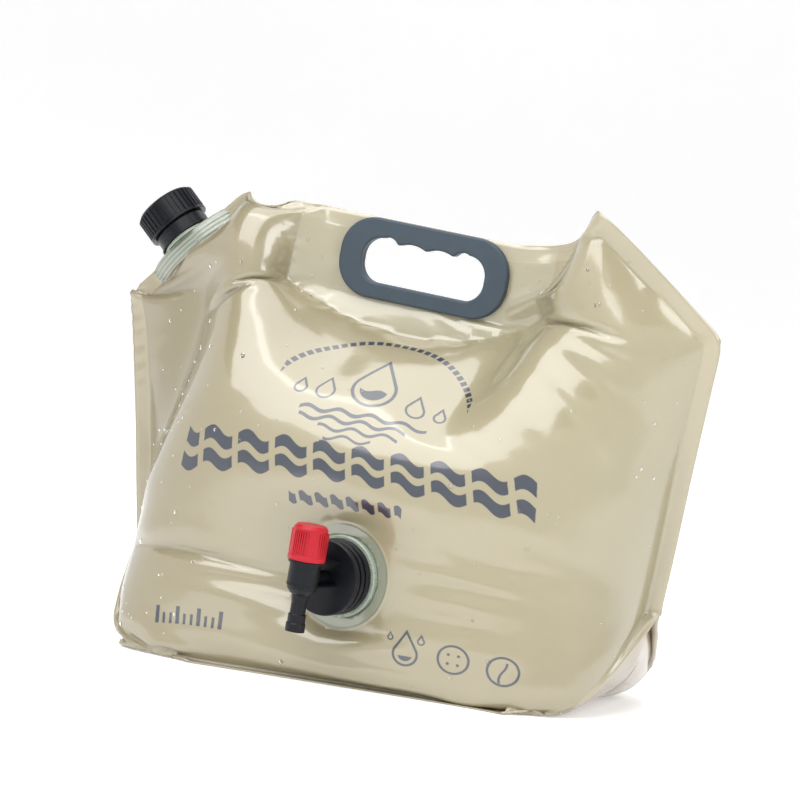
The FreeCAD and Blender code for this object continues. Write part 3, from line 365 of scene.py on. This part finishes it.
    def settle(self, panels, gusset, steps, rounds, first):
        """Fills the bag: water pressure below the level, a little air above it."""
        speed, gusset_speed = np.zeros_like(panels), np.zeros_like(gusset)
        strength = PRESSURE / self.cell ** 2 * STEP_SHARE * 0.5 ** self.level

        def load(points):
            return AIR + np.clip((WATER_LEVEL - points[..., 2]) / HEAD, 0, MOST_HEAD)

        for step in range(steps):
            ramp = min(1, (step + 1) / RAMP_STEPS) if first else 1
            grip = FIRST_GRIP + (1 - FIRST_GRIP) * min(1, step / GRIP_STEPS) if first else 1
            before, gusset_before = panels.copy(), gusset.copy()
            front_room = np.clip((FRONT_STOP + panels[0][..., 1]) / FRONT_GIVE, -1, 1)
            rear_room = np.clip((REAR_STOP - panels[1][..., 1]) / REAR_GIVE, -1, 1)
            front = strength * ramp * (load(panels[0]) + self.push) * front_room
            rear = strength * ramp * load(panels[1]) * rear_room
            foot = strength * ramp * load(gusset)
            outward = np.stack([
                area_vectors(panels[0]) * front[..., None], -area_vectors(panels[1]) * rear[..., None]])
            foot_push = -area_vectors(gusset) * foot[..., None]
            panels += DRAG * speed + outward
            gusset += DRAG * gusset_speed + foot_push
            panels[..., 2] -= SAG
            gusset[..., 2] -= SAG
            for _ in range(rounds):
                pull(panels[0], self.links)
                pull(panels[1], self.links)
                pull(gusset, self.gusset_links)
                self.join(panels, gusset)
                for side, held, target in self.held:
                    panels[side][held] += grip * (target - panels[side][held])
                for side, row, column, target, pull_strength in self.drawn:
                    panels[side, row, column] += (target - panels[side, row, column]) * pull_strength * grip
                panels[..., 2] = np.maximum(panels[..., 2], PANEL_FLOOR)
                gusset[..., 2] = np.maximum(gusset[..., 2], GUSSET_FLOOR)
            speed, gusset_speed = capped(panels - before), capped(gusset - gusset_before)


def capped(speed):
    """A speed held below the limit."""
    size = np.sqrt((speed ** 2).sum(-1, keepdims=True))
    return speed * np.minimum(1, MOST_SPEED / np.maximum(size, 1e-9))


def refined(points):
    """A grid with every cell halved both ways."""
    rows, columns = points.shape[:2]
    tall = np.empty((2 * rows - 1, columns, 3))
    tall[::2], tall[1::2] = points, (points[:-1] + points[1:]) / 2
    wide = np.empty((2 * rows - 1, 2 * columns - 1, 3))
    wide[:, ::2], wide[:, 1::2] = tall, (tall[:, :-1] + tall[:, 1:]) / 2
    return wide


def simulate():
    """The filled bag's panels and gusset, from a coarse grid to a fine one."""
    noise = np.random.default_rng(1)
    for level, steps, rounds in LEVELS:
        film = Film(level)
        if level == LEVELS[0][0]:
            panels, gusset = film.start()
            panels[..., 1] += noise.normal(0, 0.6, panels.shape[:3])
            gusset[..., 1] += noise.normal(0, 0.6, gusset.shape[:2])
        else:
            panels, gusset = np.stack([refined(panels[0]), refined(panels[1])]), refined(gusset)
        film.settle(panels, gusset, steps, rounds, level == LEVELS[0][0])
    return film, panels, gusset


# ------------------------------------------------------------------------ film meshes
def outward_normals(points, facing):
    """Unit normals of a grid of points."""
    normal = area_vectors(points) * facing
    return normal / np.maximum(np.linalg.norm(normal, axis=-1, keepdims=True), 1e-12)


def grip_outline(across, high):
    """Signed distance to the handle's window in the film, below zero inside."""
    x, y = np.abs(across), np.abs(high - (HANDLE_HIGH - GRIP_DROP))
    reach_x, reach_y = x - (GRIP_LONG / 2 - GRIP_ROUND), y - (GRIP_HIGH / 2 - GRIP_ROUND)
    outside = np.hypot(np.maximum(reach_x, 0), np.maximum(reach_y, 0))
    return outside + np.minimum(np.maximum(reach_x, reach_y), 0) - GRIP_ROUND


def tap_outline(across, high):
    """Signed distance to the tap's hole, below zero inside."""
    return np.hypot(across, high - TAP_HIGH) - TAP_HOLE


def cut_hole(points, flat, keep, outline, place_point):
    """Opens a hole in a held part of the film: its edge is drawn onto the outline."""
    across, high = flat[..., 0], flat[..., 1]
    distance = outline(across, high)
    inside = distance < 0
    nudge = 1e-3
    slope_x = (outline(across + nudge, high) - outline(across - nudge, high)) / (2 * nudge)
    slope_y = (outline(across, high + nudge) - outline(across, high - nudge)) / (2 * nudge)
    new_flat = np.stack([across - distance * slope_x, high - distance * slope_y], -1)
    cell_inside = inside[:-1, :-1] & inside[1:, :-1] & inside[:-1, 1:] & inside[1:, 1:]
    keep &= ~cell_inside
    near = inside & (distance > -8)
    flat[near] = new_flat[near]
    points[near] = place_point(new_flat[near][:, 0], new_flat[near][:, 1])


def film_piece(name, points, flat, keep, facing, edge):
    """One film sheet as a mesh with its flat pattern as UV, in metres."""
    rows, columns = points.shape[:2]
    shifted = points + outward_normals(points, facing) * (FILM_WALL / 2 + 0.03)
    index = np.arange(rows * columns).reshape(rows, columns)
    quads = np.stack([index[:-1, :-1], index[:-1, 1:], index[1:, 1:], index[1:, :-1]], -1)[keep]
    if facing < 0:
        quads = quads[:, ::-1]
    used = np.unique(quads)
    renumber = np.zeros(rows * columns, int)
    renumber[used] = np.arange(len(used))
    mesh = bpy.data.meshes.new(name)
    mesh.from_pydata((shifted.reshape(-1, 3)[used] * MM).tolist(), [], renumber[quads].tolist())
    mesh.shade_smooth()
    layer = mesh.uv_layers.new(name="flat")
    corner = np.zeros(len(mesh.loops), int)
    mesh.loops.foreach_get("vertex_index", corner)
    pattern = flat.reshape(-1, 2)[used] * MM
    layer.data.foreach_set("uv", pattern[corner].astype(np.float32).ravel())
    rim = mesh.attributes.new("rim", "FLOAT", "POINT")
    rim.data.foreach_set("value", (edge.reshape(-1)[used] * MM).astype(np.float32))
    piece = bpy.data.objects.new(name, mesh)
    bpy.context.scene.collection.objects.link(piece)
    wall = piece.modifiers.new("wall", "SOLIDIFY")
    wall.thickness, wall.offset = FILM_WALL * MM, 0
    return piece


def flat_area(flat, keep):
    """The area of the kept cells of the flat pattern, square metres."""
    a, b = flat[1:, 1:] - flat[:-1, :-1], flat[1:, :-1] - flat[:-1, 1:]
    return float((np.abs(a[..., 0] * b[..., 1] - a[..., 1] * b[..., 0]) / 2)[keep].sum()) * MM * MM


def build_film():
    """The front panel, rear panel and gusset as sheets that stand for their CAD shells."""
    film, panels, gusset = simulate()
    made = {}
    whole = np.ones((film.across.shape[0] - 1, film.across.shape[1] - 1), bool)
    for side, name in ((0, "front_panel"), (1, "rear_panel")):
        flat, keep, points = film.flat.copy(), whole.copy(), panels[side].copy()
        cut_hole(points, flat, keep, grip_outline, handle_point)
        if side == 0:
            cut_hole(points, flat, keep, tap_outline, tap_point)
        piece = film_piece("film_" + name, points, flat, keep, 1 if side == 0 else -1, film.edge)
        flat_area(flat, keep)
        made[name] = piece
    keep = np.ones((gusset.shape[0] - 1, gusset.shape[1] - 1), bool)
    edge = np.concatenate([film.edge[:film.fold + 1], film.edge[:film.fold][::-1]])
    piece = film_piece("film_bottom_gusset", gusset, film.gusset_flat, keep, -1, edge)
    flat_area(film.gusset_flat, keep)
    made["bottom_gusset"] = piece
    for node, piece in made.items():
        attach(piece, "root")
        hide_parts(node)
    return film, panels, made


# -------------------------------------------------------------------------- materials
class Wire:
    """A number in a material's nodes; sums, products and comparisons add maths nodes."""

    def __init__(self, tree, socket):
        self.tree, self.socket = tree, socket

    def maths(self, operation, *others, clamp=False):
        node = self.tree.nodes.new("ShaderNodeMath")
        node.operation, node.use_clamp = operation, clamp
        for index, value in enumerate((self, *others)):
            if isinstance(value, Wire):
                self.tree.links.new(value.socket, node.inputs[index])
            else:
                node.inputs[index].default_value = value
        return Wire(self.tree, node.outputs[0])

    def __add__(self, other):
        return self.maths("ADD", other)

    def __sub__(self, other):
        return self.maths("SUBTRACT", other)

    def __mul__(self, other):
        return self.maths("MULTIPLY", other)

    def __abs__(self):
        return self.maths("ABSOLUTE")

    def sine(self):
        return self.maths("SINE")

    def lower(self, other):
        return self.maths("MINIMUM", other)

    def higher(self, other):
        return self.maths("MAXIMUM", other)

    def part(self, length):
        """Distance from the middle of the repeat it lies in."""
        return abs(self.maths("FLOORED_MODULO", length) - length / 2)

    def inside(self, soft=0.5):
        """1 where this distance is below zero, 0 above, with a soft edge."""
        return (self * (-1 / soft)).maths("ADD", 0.5, clamp=True)


def length_of(a, b):
    """The length of a vector given by two wires."""
    return (a * a + b * b).maths("SQRT")


class Look:
    """A procedural material round a Principled shader."""

    def __init__(self, name):
        self.material = bpy.data.materials.new(name)
        self.material.use_nodes = True
        self.tree = self.material.node_tree
        self.shader = self.tree.nodes["Principled BSDF"]
        self.output = self.tree.nodes["Material Output"]

    def wire(self, socket):
        return Wire(self.tree, socket)

    def link(self, wire, name):
        self.tree.links.new(wire.socket if isinstance(wire, Wire) else wire, self.shader.inputs[name])

    def noise(self, scale, detail, rough=0.5):
        """Noise over the object's own coordinates, scale in repeats per metre."""
        coordinates = self.tree.nodes.new("ShaderNodeTexCoord")
        noise = self.tree.nodes.new("ShaderNodeTexNoise")
        noise.inputs["Scale"].default_value = scale
        noise.inputs["Detail"].default_value = detail
        noise.inputs["Roughness"].default_value = rough
        self.tree.links.new(coordinates.outputs["Object"], noise.inputs["Vector"])
        return self.wire(noise.outputs["Fac"])

    def mix(self, share, first, second):
        """A colour between two colours or colour sockets."""
        node = self.tree.nodes.new("ShaderNodeMix")
        node.data_type = "RGBA"
        sockets = [socket for socket in node.inputs if socket.type == "RGBA"]
        for value, socket in zip((first, second), sockets):
            if isinstance(value, tuple):
                socket.default_value = (*value, 1)
            else:
                self.tree.links.new(value, socket)
        self.tree.links.new(share.socket, node.inputs["Factor"])
        return next(socket for socket in node.outputs if socket.type == "RGBA")

    def bump(self, height, distance, names=("Normal",)):
        """Small relief; distance is its height in metres where height is 1."""
        node = self.tree.nodes.new("ShaderNodeBump")
        node.inputs["Distance"].default_value = distance
        node.inputs["Strength"].default_value = 1.0
        self.tree.links.new(height.socket, node.inputs["Height"])
        for name in names:
            self.tree.links.new(node.outputs["Normal"], self.shader.inputs[name])

    def set(self, **values):
        for name, value in values.items():
            self.shader.inputs[name.replace("_", " ")].default_value = value


PLASTIC_GRAIN = 0.00003


def plastic(name, dark, pale, rough, coat=0.0, transmission=0.0, gloss=0.35):
    """Moulded plastic with a slightly uneven colour and a fine surface grain."""
    look = Look(name)
    cloud = look.noise(90, 4)
    look.link(look.mix(cloud, dark, pale), "Base Color")
    look.link(look.noise(260, 3) * 0.16 + (rough - 0.08), "Roughness")
    look.bump(look.noise(2400, 2), PLASTIC_GRAIN)
    look.set(Coat_Weight=coat, Coat_Roughness=0.12, Transmission_Weight=transmission, Specular_IOR_Level=gloss)
    return look.material


PRINT_COLOUR = (0.024, 0.032, 0.050)
FILM_TAN, FILM_WARM, FILM_GREEN = (0.385, 0.345, 0.225), (0.32, 0.275, 0.165), (0.27, 0.30, 0.235)
# the first of these colours is painted shade, darkening the film's left and lower parts
# the last of these colours is a painted reflection, paling the flat welded zone round the handle as if it caught
# the sky's light
FILM_SHADE, FILM_BAND, FILM_ZONE_REFLECTION = (0.25, 0.21, 0.125), (0.44, 0.385, 0.26), (0.43, 0.40, 0.285)
RIB_PALE, RIB_DARK = (0.27, 0.31, 0.24), (0.15, 0.18, 0.14)
GUSSET_TAN, GUSSET_WARM = (0.37, 0.295, 0.20), (0.31, 0.24, 0.155)


def drop_shape(across, high, radius):
    """Signed distance to a water drop with its point up."""
    lean = math.radians(30)
    circle = length_of(across, high) - radius
    side = abs(across) * math.cos(lean) + high * math.sin(lean) - radius
    return circle.lower(side.higher(high * -1 + radius * math.sin(lean)))


def outline(distance, width):
    """A line of a width along a shape's edge."""
    return abs(distance) - width / 2


def printed(across, high):
    """The plain pattern printed on the front, 1 where there is ink, from flat coordinates in mm."""
    marks = []

    # rows of leaning wavy tiles, growing taller towards both ends by the swell
    def waves(middle, tall, wide, pitch, gap, lean, swell, rows):
        lifted = high - middle
        grown = tall * 0.5
        slanted = across + lifted * lean
        tile = slanted.part(pitch) - (pitch - gap) / 2
        bend = abs(across) * abs(across) * swell
        swing = (across * (2 * math.pi / pitch)).sine() * (tall * 0.14)
        for row in range(rows):
            offset = (row - (rows - 1) / 2) * tall / rows
            course = swing + (bend * (offset / grown) + offset)
            line = abs(lifted - course) - (bend * (0.5 / rows) + tall * 0.31 / rows)
            marks.append(line.higher(tile).higher(abs(across) - wide / 2))

    waves(149, 22, 209, 23.0, 3.8, 0.16, 0.0004, 2)
    waves(125, 10, 68, 9.6, 2.2, 0.18, 0.0, 1)
    # an arc of dashes over a drop, four small drops and four lines of water
    centre_across, centre_high, reach = 1.0, 183.0, 62.0
    side, rise = across - centre_across, high - centre_high
    angle = rise.maths("ARCTAN2", side)
    dashes = (angle * reach).part(5.2) - 1.75
    ring = abs(length_of(side, rise) - reach) - 1.9
    marks.append(ring.higher(dashes).higher(rise * -1 + 8).higher(abs(side) - 58))
    for row, wide in enumerate((38, 32, 24, 14)):
        swing = (side * (2 * math.pi / 19) + row * 1.3).sine() * 1.5
        line = abs(rise + (3 + 5.5 * row) - swing) - (1.3 - 0.15 * row)
        marks.append(line.higher(abs(side + (row % 2) * 5) - wide))
    drop_rise = rise - 17
    marks.append(outline(drop_shape(side, drop_rise, 12.5), 2.0))
    marks.append(drop_shape(side, drop_rise, 8.4).higher(drop_rise + 1 - (side * 0.4).sine() * 1.2))
    for offset, size in ((-27, 5.2), (27, 5.2), (-42, 3.4), (42, 3.4)):
        marks.append(outline(drop_shape(side + offset, rise - 10, size), 1.4))
    # a scale of ticks, and three small signs
    scale_across, scale_high = across + 85, high - 37
    short, tall = scale_across.part(4.4) - 0.85, scale_across.part(13.2) - 1.2
    span = abs(scale_across) - 21.5
    marks.append(short.higher(abs(scale_high + 2.2) - 3.4).higher(span))
    marks.append(tall.higher(abs(scale_high) - 5.6).higher(span))
    for place_across, inner in ((45, "drop"), (72, "dots"), (99, "leaf")):
        side, rise = across - place_across, high - 41
        if inner == "drop":
            marks.append(outline(drop_shape(side, rise + 2, 6.8), 1.4))
            marks.append(drop_shape(side, rise + 2, 4.2).higher(rise + 3.2))
            for offset, size in ((-8.5, 1.8), (9.5, 1.5)):
                marks.append(outline(drop_shape(side + offset, rise - 7, size), 0.9))
            continue
        marks.append(outline(length_of(side, rise) - 8.4, 1.4))
        if inner == "dots":
            marks.append(length_of(side.part(5.6), rise.part(5.6)).higher(length_of(side, rise) - 5.4) - 0.9)
        else:
            marks.append((abs(side - (rise * 0.35).sine() * 1.4) - 0.7).higher(abs(rise + 1) - 6.5))
    ink = marks[0].inside()
    for mark in marks[1:]:
        ink = ink.higher(mark.inside())
    return ink


def film_look(name, rest=FILM_TAN, warm=FILM_WARM, panel=True, front=False):
    """Glossy printed film: paler weld bands along the edges, painted shade darkening its left and lower parts, a
    painted reflection of the sky paling the welded zone round the handle, a green cast over the spout's base, and
    ink on the front.
    """
    look = Look(name)
    flat = look.tree.nodes.new("ShaderNodeUVMap")
    flat.uv_map = "flat"
    split = look.tree.nodes.new("ShaderNodeSeparateXYZ")
    look.tree.links.new(flat.outputs["UV"], split.inputs[0])
    across, high = look.wire(split.outputs["X"]) * (1 / MM), look.wire(split.outputs["Y"]) * (1 / MM)
    rim = look.tree.nodes.new("ShaderNodeAttribute")
    rim.attribute_name = "rim"
    edge = look.wire(rim.outputs["Fac"]) * (1 / MM)
    colour = look.mix(look.noise(9, 4), rest, warm)
    # painted shade: the film's colour darkens towards its left side and towards the bottom
    left_shade = (across * -0.006).maths("ADD", -0.1, clamp=True)
    shade = left_shade.higher((high * -0.008).maths("ADD", 0.75, clamp=True) * 0.5)
    colour = look.mix(shade * 0.9, colour, FILM_SHADE)
    band = (edge - BAND).inside(0.7) * 0.5
    colour = look.mix(band, colour, FILM_BAND)
    relief = (edge - BAND).inside(1.2) * -0.4
    if panel:
        below = high * -1 + (HANDLE_HIGH - ZONE_DROP) + across * across * ZONE_CURVE
        zone = (abs(across) - ZONE_HALF).higher(below).inside(1.4)
        # painted reflection: the flat welded zone round the handle is paled as if it caught the sky's light
        colour = look.mix(zone * 0.55, colour, FILM_ZONE_REFLECTION)
        relief = relief + zone * -0.4
        along, inward = boat_reach(across, high)
        boat = (abs(along) - BOAT_LONG / 2 - 1).higher(inward - BOAT_DEEP - 0.8)
        ribs = (inward.part(2.6) - 0.6).inside(0.5)
        colour = look.mix(boat.inside(1.0) * 0.9, colour, look.mix(ribs, RIB_PALE, RIB_DARK))
        relief = relief + boat.inside(1.0) * ribs * -0.5
    if front:
        ring = length_of(across, high - TAP_HIGH)
        colour = look.mix((ring - FLANGE_REACH).inside(1.2) * 0.8, colour, FILM_GREEN)
        relief = relief + (abs(ring - FLANGE_REACH) - 0.8).inside(1.2) * 0.5
        ink = printed(across, high)
        colour = look.mix(ink, colour, PRINT_COLOUR)
    look.tree.links.new(colour, look.shader.inputs["Base Color"])
    look.set(Roughness=0.3, Coat_Weight=1.0, Coat_Roughness=0.12, Coat_IOR=1.8, Specular_IOR_Level=0.5)
    swell = look.noise(24, 2, 0.4) * 1.0 + look.noise(120, 2) * 0.07 + relief * 0.35
    look.bump(swell, 0.0012, ("Normal", "Coat Normal"))
    glow = look.tree.nodes.new("ShaderNodeBsdfTranslucent")
    look.tree.links.new(colour, glow.inputs["Color"])
    both = look.tree.nodes.new("ShaderNodeMixShader")
    both.inputs[0].default_value = 0.14
    look.tree.links.new(look.shader.outputs[0], both.inputs[1])
    look.tree.links.new(glow.outputs[0], both.inputs[2])
    look.tree.links.new(both.outputs[0], look.output.inputs["Surface"])
    return look.material


BLACK = plastic("black_plastic", (0.003, 0.0035, 0.005), (0.006, 0.007, 0.010), 0.28, gloss=0.2)
TAP_BLACK = plastic("tap_plastic", (0.003, 0.0035, 0.005), (0.008, 0.009, 0.012), 0.33, gloss=0.2)
SLATE = plastic("handle_plastic", (0.036, 0.052, 0.068), (0.048, 0.066, 0.084), 0.42, gloss=0.3)
RED = plastic("knob_plastic", (0.34, 0.006, 0.014), (0.44, 0.012, 0.022), 0.34, gloss=0.25)
GREEN = plastic("fitment_plastic", (0.27, 0.32, 0.26), (0.36, 0.41, 0.33), 0.28, coat=0.3, transmission=0.2)
RUBBER = plastic("seal_rubber", (0.010, 0.010, 0.011), (0.022, 0.022, 0.024), 0.62)
CAD_LOOKS = {
    "handle_front": SLATE, "handle_rear": SLATE, "spout_fitment": GREEN, "spout_cap": BLACK, "tamper_ring": BLACK,
    "cap_liner": RUBBER, "tap_flange": GREEN, "gland_gasket": RUBBER, "tap_gland": TAP_BLACK, "tap_body": TAP_BLACK,
    "tap_bonnet": TAP_BLACK, "valve_washer": RUBBER, "valve_stem": TAP_BLACK, "stem_o_ring": RUBBER,
    "inlet_o_ring": RUBBER, "tap_knob": RED}


def dress_cad():
    """Gives every CAD node that stays in sight its own finish."""
    for node, material in CAD_LOOKS.items():
        mesh = frame["nodes"][node].data
        mesh.materials.clear()
        mesh.materials.append(material)


# --------------------------------------------------------------------- water droplets
DROPS, DROP_SEED = 190, 7
DROP_ROUND, DROP_RINGS, DROP_FLAT, DROP_RUN = 10, 4, 0.55, 1.25     # sides, rings, height and droop over radius


def drop_mesh(points, facing, chosen, radii):
    """Flattened water beads standing on a film at chosen grid points, all in one mesh, mm."""
    normals = outward_normals(points, facing)
    corners, faces = [], []
    for (row, column), radius in zip(chosen, radii):
        up = normals[row, column]
        side = np.cross(up, (0, 0, 1.0))
        side /= np.linalg.norm(side)
        tall = np.cross(side, up)
        foot = points[row, column] + up * (FILM_WALL + 0.02)
        first = len(corners)
        for ring in range(DROP_RINGS):
            angle = math.pi / 2 * ring / DROP_RINGS
            reach, lift = radius * math.cos(angle), DROP_FLAT * radius * math.sin(angle)
            for step in range(DROP_ROUND):
                turn = 2 * math.pi * step / DROP_ROUND
                stretch = DROP_RUN if math.sin(turn) < 0 else 1.0
                corners.append(
                    foot + side * reach * math.cos(turn) + tall * reach * stretch * math.sin(turn) + up * lift)
        corners.append(foot + up * DROP_FLAT * radius)
        top = len(corners) - 1
        for step in range(DROP_ROUND):
            after = (step + 1) % DROP_ROUND
            for ring in range(DROP_RINGS - 1):
                low, high = first + ring * DROP_ROUND, first + (ring + 1) * DROP_ROUND
                faces.append((low + step, low + after, high + after, high + step))
            last = first + (DROP_RINGS - 1) * DROP_ROUND
            faces.append((last + step, last + after, top))
        faces.append(tuple(first + step for step in reversed(range(DROP_ROUND))))
    return corners, faces


def build_drops(film, panel):
    """Clear beads of water scattered over the front, fewer in its middle and low down."""
    pick = np.random.default_rng(DROP_SEED)
    rows, columns = film.across.shape
    chosen, radii = [], []
    while len(chosen) < DROPS:
        row, column = int(pick.integers(2, rows - 2)), int(pick.integers(4, columns - 4))
        across, high = film.across[row, column], film.high[row, column]
        wet = 0.15 + 0.85 * min(1, abs(across - 20) / 150) * (1.3 if high > 150 else 0.8)
        hard = math.hypot(across, high - TAP_HIGH) < 36 or (abs(across) < 60 and abs(high - HANDLE_HIGH) < 28)
        if hard or film.edge[row, column] < 3 or pick.random() > wet:
            continue
        chosen.append((row, column))
        radii.append(0.45 + 1.15 * pick.random() ** 3)
    corners, faces = drop_mesh(panel, 1, chosen, radii)
    mesh = bpy.data.meshes.new("water_drops")
    mesh.from_pydata((np.array(corners) * MM).tolist(), [], faces)
    mesh.shade_smooth()
    drops = bpy.data.objects.new("water_drops", mesh)
    bpy.context.scene.collection.objects.link(drops)
    look = Look("water_look")
    look.link(look.mix(look.noise(300, 2), (0.97, 0.98, 0.98), (1.0, 1.0, 1.0)), "Base Color")
    look.bump(look.noise(900, 2), 0.00002)
    look.set(Roughness=0.02, Transmission_Weight=1.0, IOR=1.33)
    mesh.materials.append(look.material)
    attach(drops, "root")
    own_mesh(drops)


# ------------------------------------------------------------------- stage and camera
def build_stage():
    """A pale floor that curves up into the backdrop all round."""
    floor_reach, curve, wall_top, curve_steps, around = 2.2, 1.6, 2.2, 12, 96
    profile = [(0.0, 0.0), (floor_reach, 0.0)]
    for step in range(1, curve_steps + 1):
        angle = math.radians(90 / curve_steps * step)
        profile.append((floor_reach + curve * math.sin(angle), curve * (1 - math.cos(angle))))
    profile.append((floor_reach + curve, wall_top))
    points, faces = [(0.0, 0.0, 0.0)], []
    for radius, height in profile[1:]:
        for step in range(around):
            angle = 2 * math.pi * step / around
            points.append((radius * math.cos(angle), radius * math.sin(angle), height))
    for step in range(around):
        after = (step + 1) % around
        faces.append((0, 1 + step, 1 + after))
        for ring in range(len(profile) - 2):
            low, top = 1 + ring * around, 1 + (ring + 1) * around
            faces.append((low + step, top + step, top + after, low + after))
    mesh = bpy.data.meshes.new("studio_floor")
    mesh.from_pydata(points, [], faces)
    mesh.shade_smooth()
    floor = bpy.data.objects.new("studio_floor", mesh)
    bpy.context.scene.collection.objects.link(floor)
    look = Look("studio_paint")
    look.link(look.mix(look.noise(3, 3), (0.86, 0.86, 0.86), (0.90, 0.90, 0.90)), "Base Color")
    look.set(Roughness=0.9, Specular_IOR_Level=0.1, Emission_Strength=0.32)
    look.shader.inputs["Emission Color"].default_value = (1, 1, 1, 1)
    mesh.materials.append(look.material)


LIGHT_AIM = (0, 0, 0.15)


def soft_light(name, azimuth, elevation, distance, size, power):
    """A rectangular lamp seen from the object at an azimuth and elevation in degrees."""
    turn, rise = math.radians(azimuth), math.radians(elevation)
    way = Vector((math.sin(turn) * math.cos(rise), -math.cos(turn) * math.cos(rise), math.sin(rise)))
    lamp = bpy.data.lights.new(name, "AREA")
    lamp.shape, (lamp.size, lamp.size_y), lamp.energy = "RECTANGLE", size, power
    holder = bpy.data.objects.new(name, lamp)
    bpy.context.scene.collection.objects.link(holder)
    holder.location = Vector(LIGHT_AIM) + way * distance
    holder.rotation_euler = way.to_track_quat("Z", "Y").to_euler()


def build_camera():
    """The camera, turned a little to the object's right and rolled."""
    aim, distance = Vector((-0.0069, 0, 0.167)), 2.195
    turn, rise, roll = math.radians(21.7), math.radians(4.0), math.radians(6.05)
    back = Vector((math.sin(turn) * math.cos(rise), -math.cos(turn) * math.cos(rise), math.sin(rise)))
    right = Vector((math.cos(turn), math.sin(turn), 0))
    up = back.cross(right)
    across, above = right * math.cos(roll) + up * math.sin(roll), up * math.cos(roll) - right * math.sin(roll)
    camera = bpy.data.cameras.new("camera")
    camera.sensor_width, camera.lens = 36, 161.5
    holder = bpy.data.objects.new("camera", camera)
    bpy.context.scene.collection.objects.link(holder)
    holder.location = aim + back * distance
    holder.rotation_euler = Matrix((across, above, back)).transposed().to_euler()
    bpy.context.scene.camera = holder


def build_light():
    """A white surround, a large soft light in front, and weaker ones above, at the side and behind."""
    world = bpy.data.worlds.new("studio")
    world.use_nodes = True
    surround = world.node_tree.nodes["Background"]
    surround.inputs["Color"].default_value = (1, 1, 1, 1)
    surround.inputs["Strength"].default_value = 0.22
    bpy.context.scene.world = world
    soft_light("key", -14, 50, 1.9, (2.2, 1.6), 37)
    soft_light("top", -20, 86, 1.7, (1.7, 1.3), 17)
    soft_light("side", 72, 30, 2.0, (0.7, 1.4), 13)
    soft_light("back", 180, 45, 2.2, (1.6, 1.0), 10)
    bpy.context.scene.view_settings.view_transform = "Standard"


# ------------------------------------------------------------------------------ main
def main():
    """Builds the film, the finishes, the stage and the camera."""
    film, panels, made = build_film()
    finishes = {
        "front_panel": film_look("film_front_look", front=True), "rear_panel": film_look("film_rear_look"),
        "bottom_gusset": film_look("film_gusset_look", GUSSET_TAN, GUSSET_WARM, panel=False)}
    for node, piece in made.items():
        piece.data.materials.append(finishes[node])
        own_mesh(piece)
    build_drops(film, panels[0])
    dress_cad()
    build_stage()
    build_light()
    build_camera()


main()
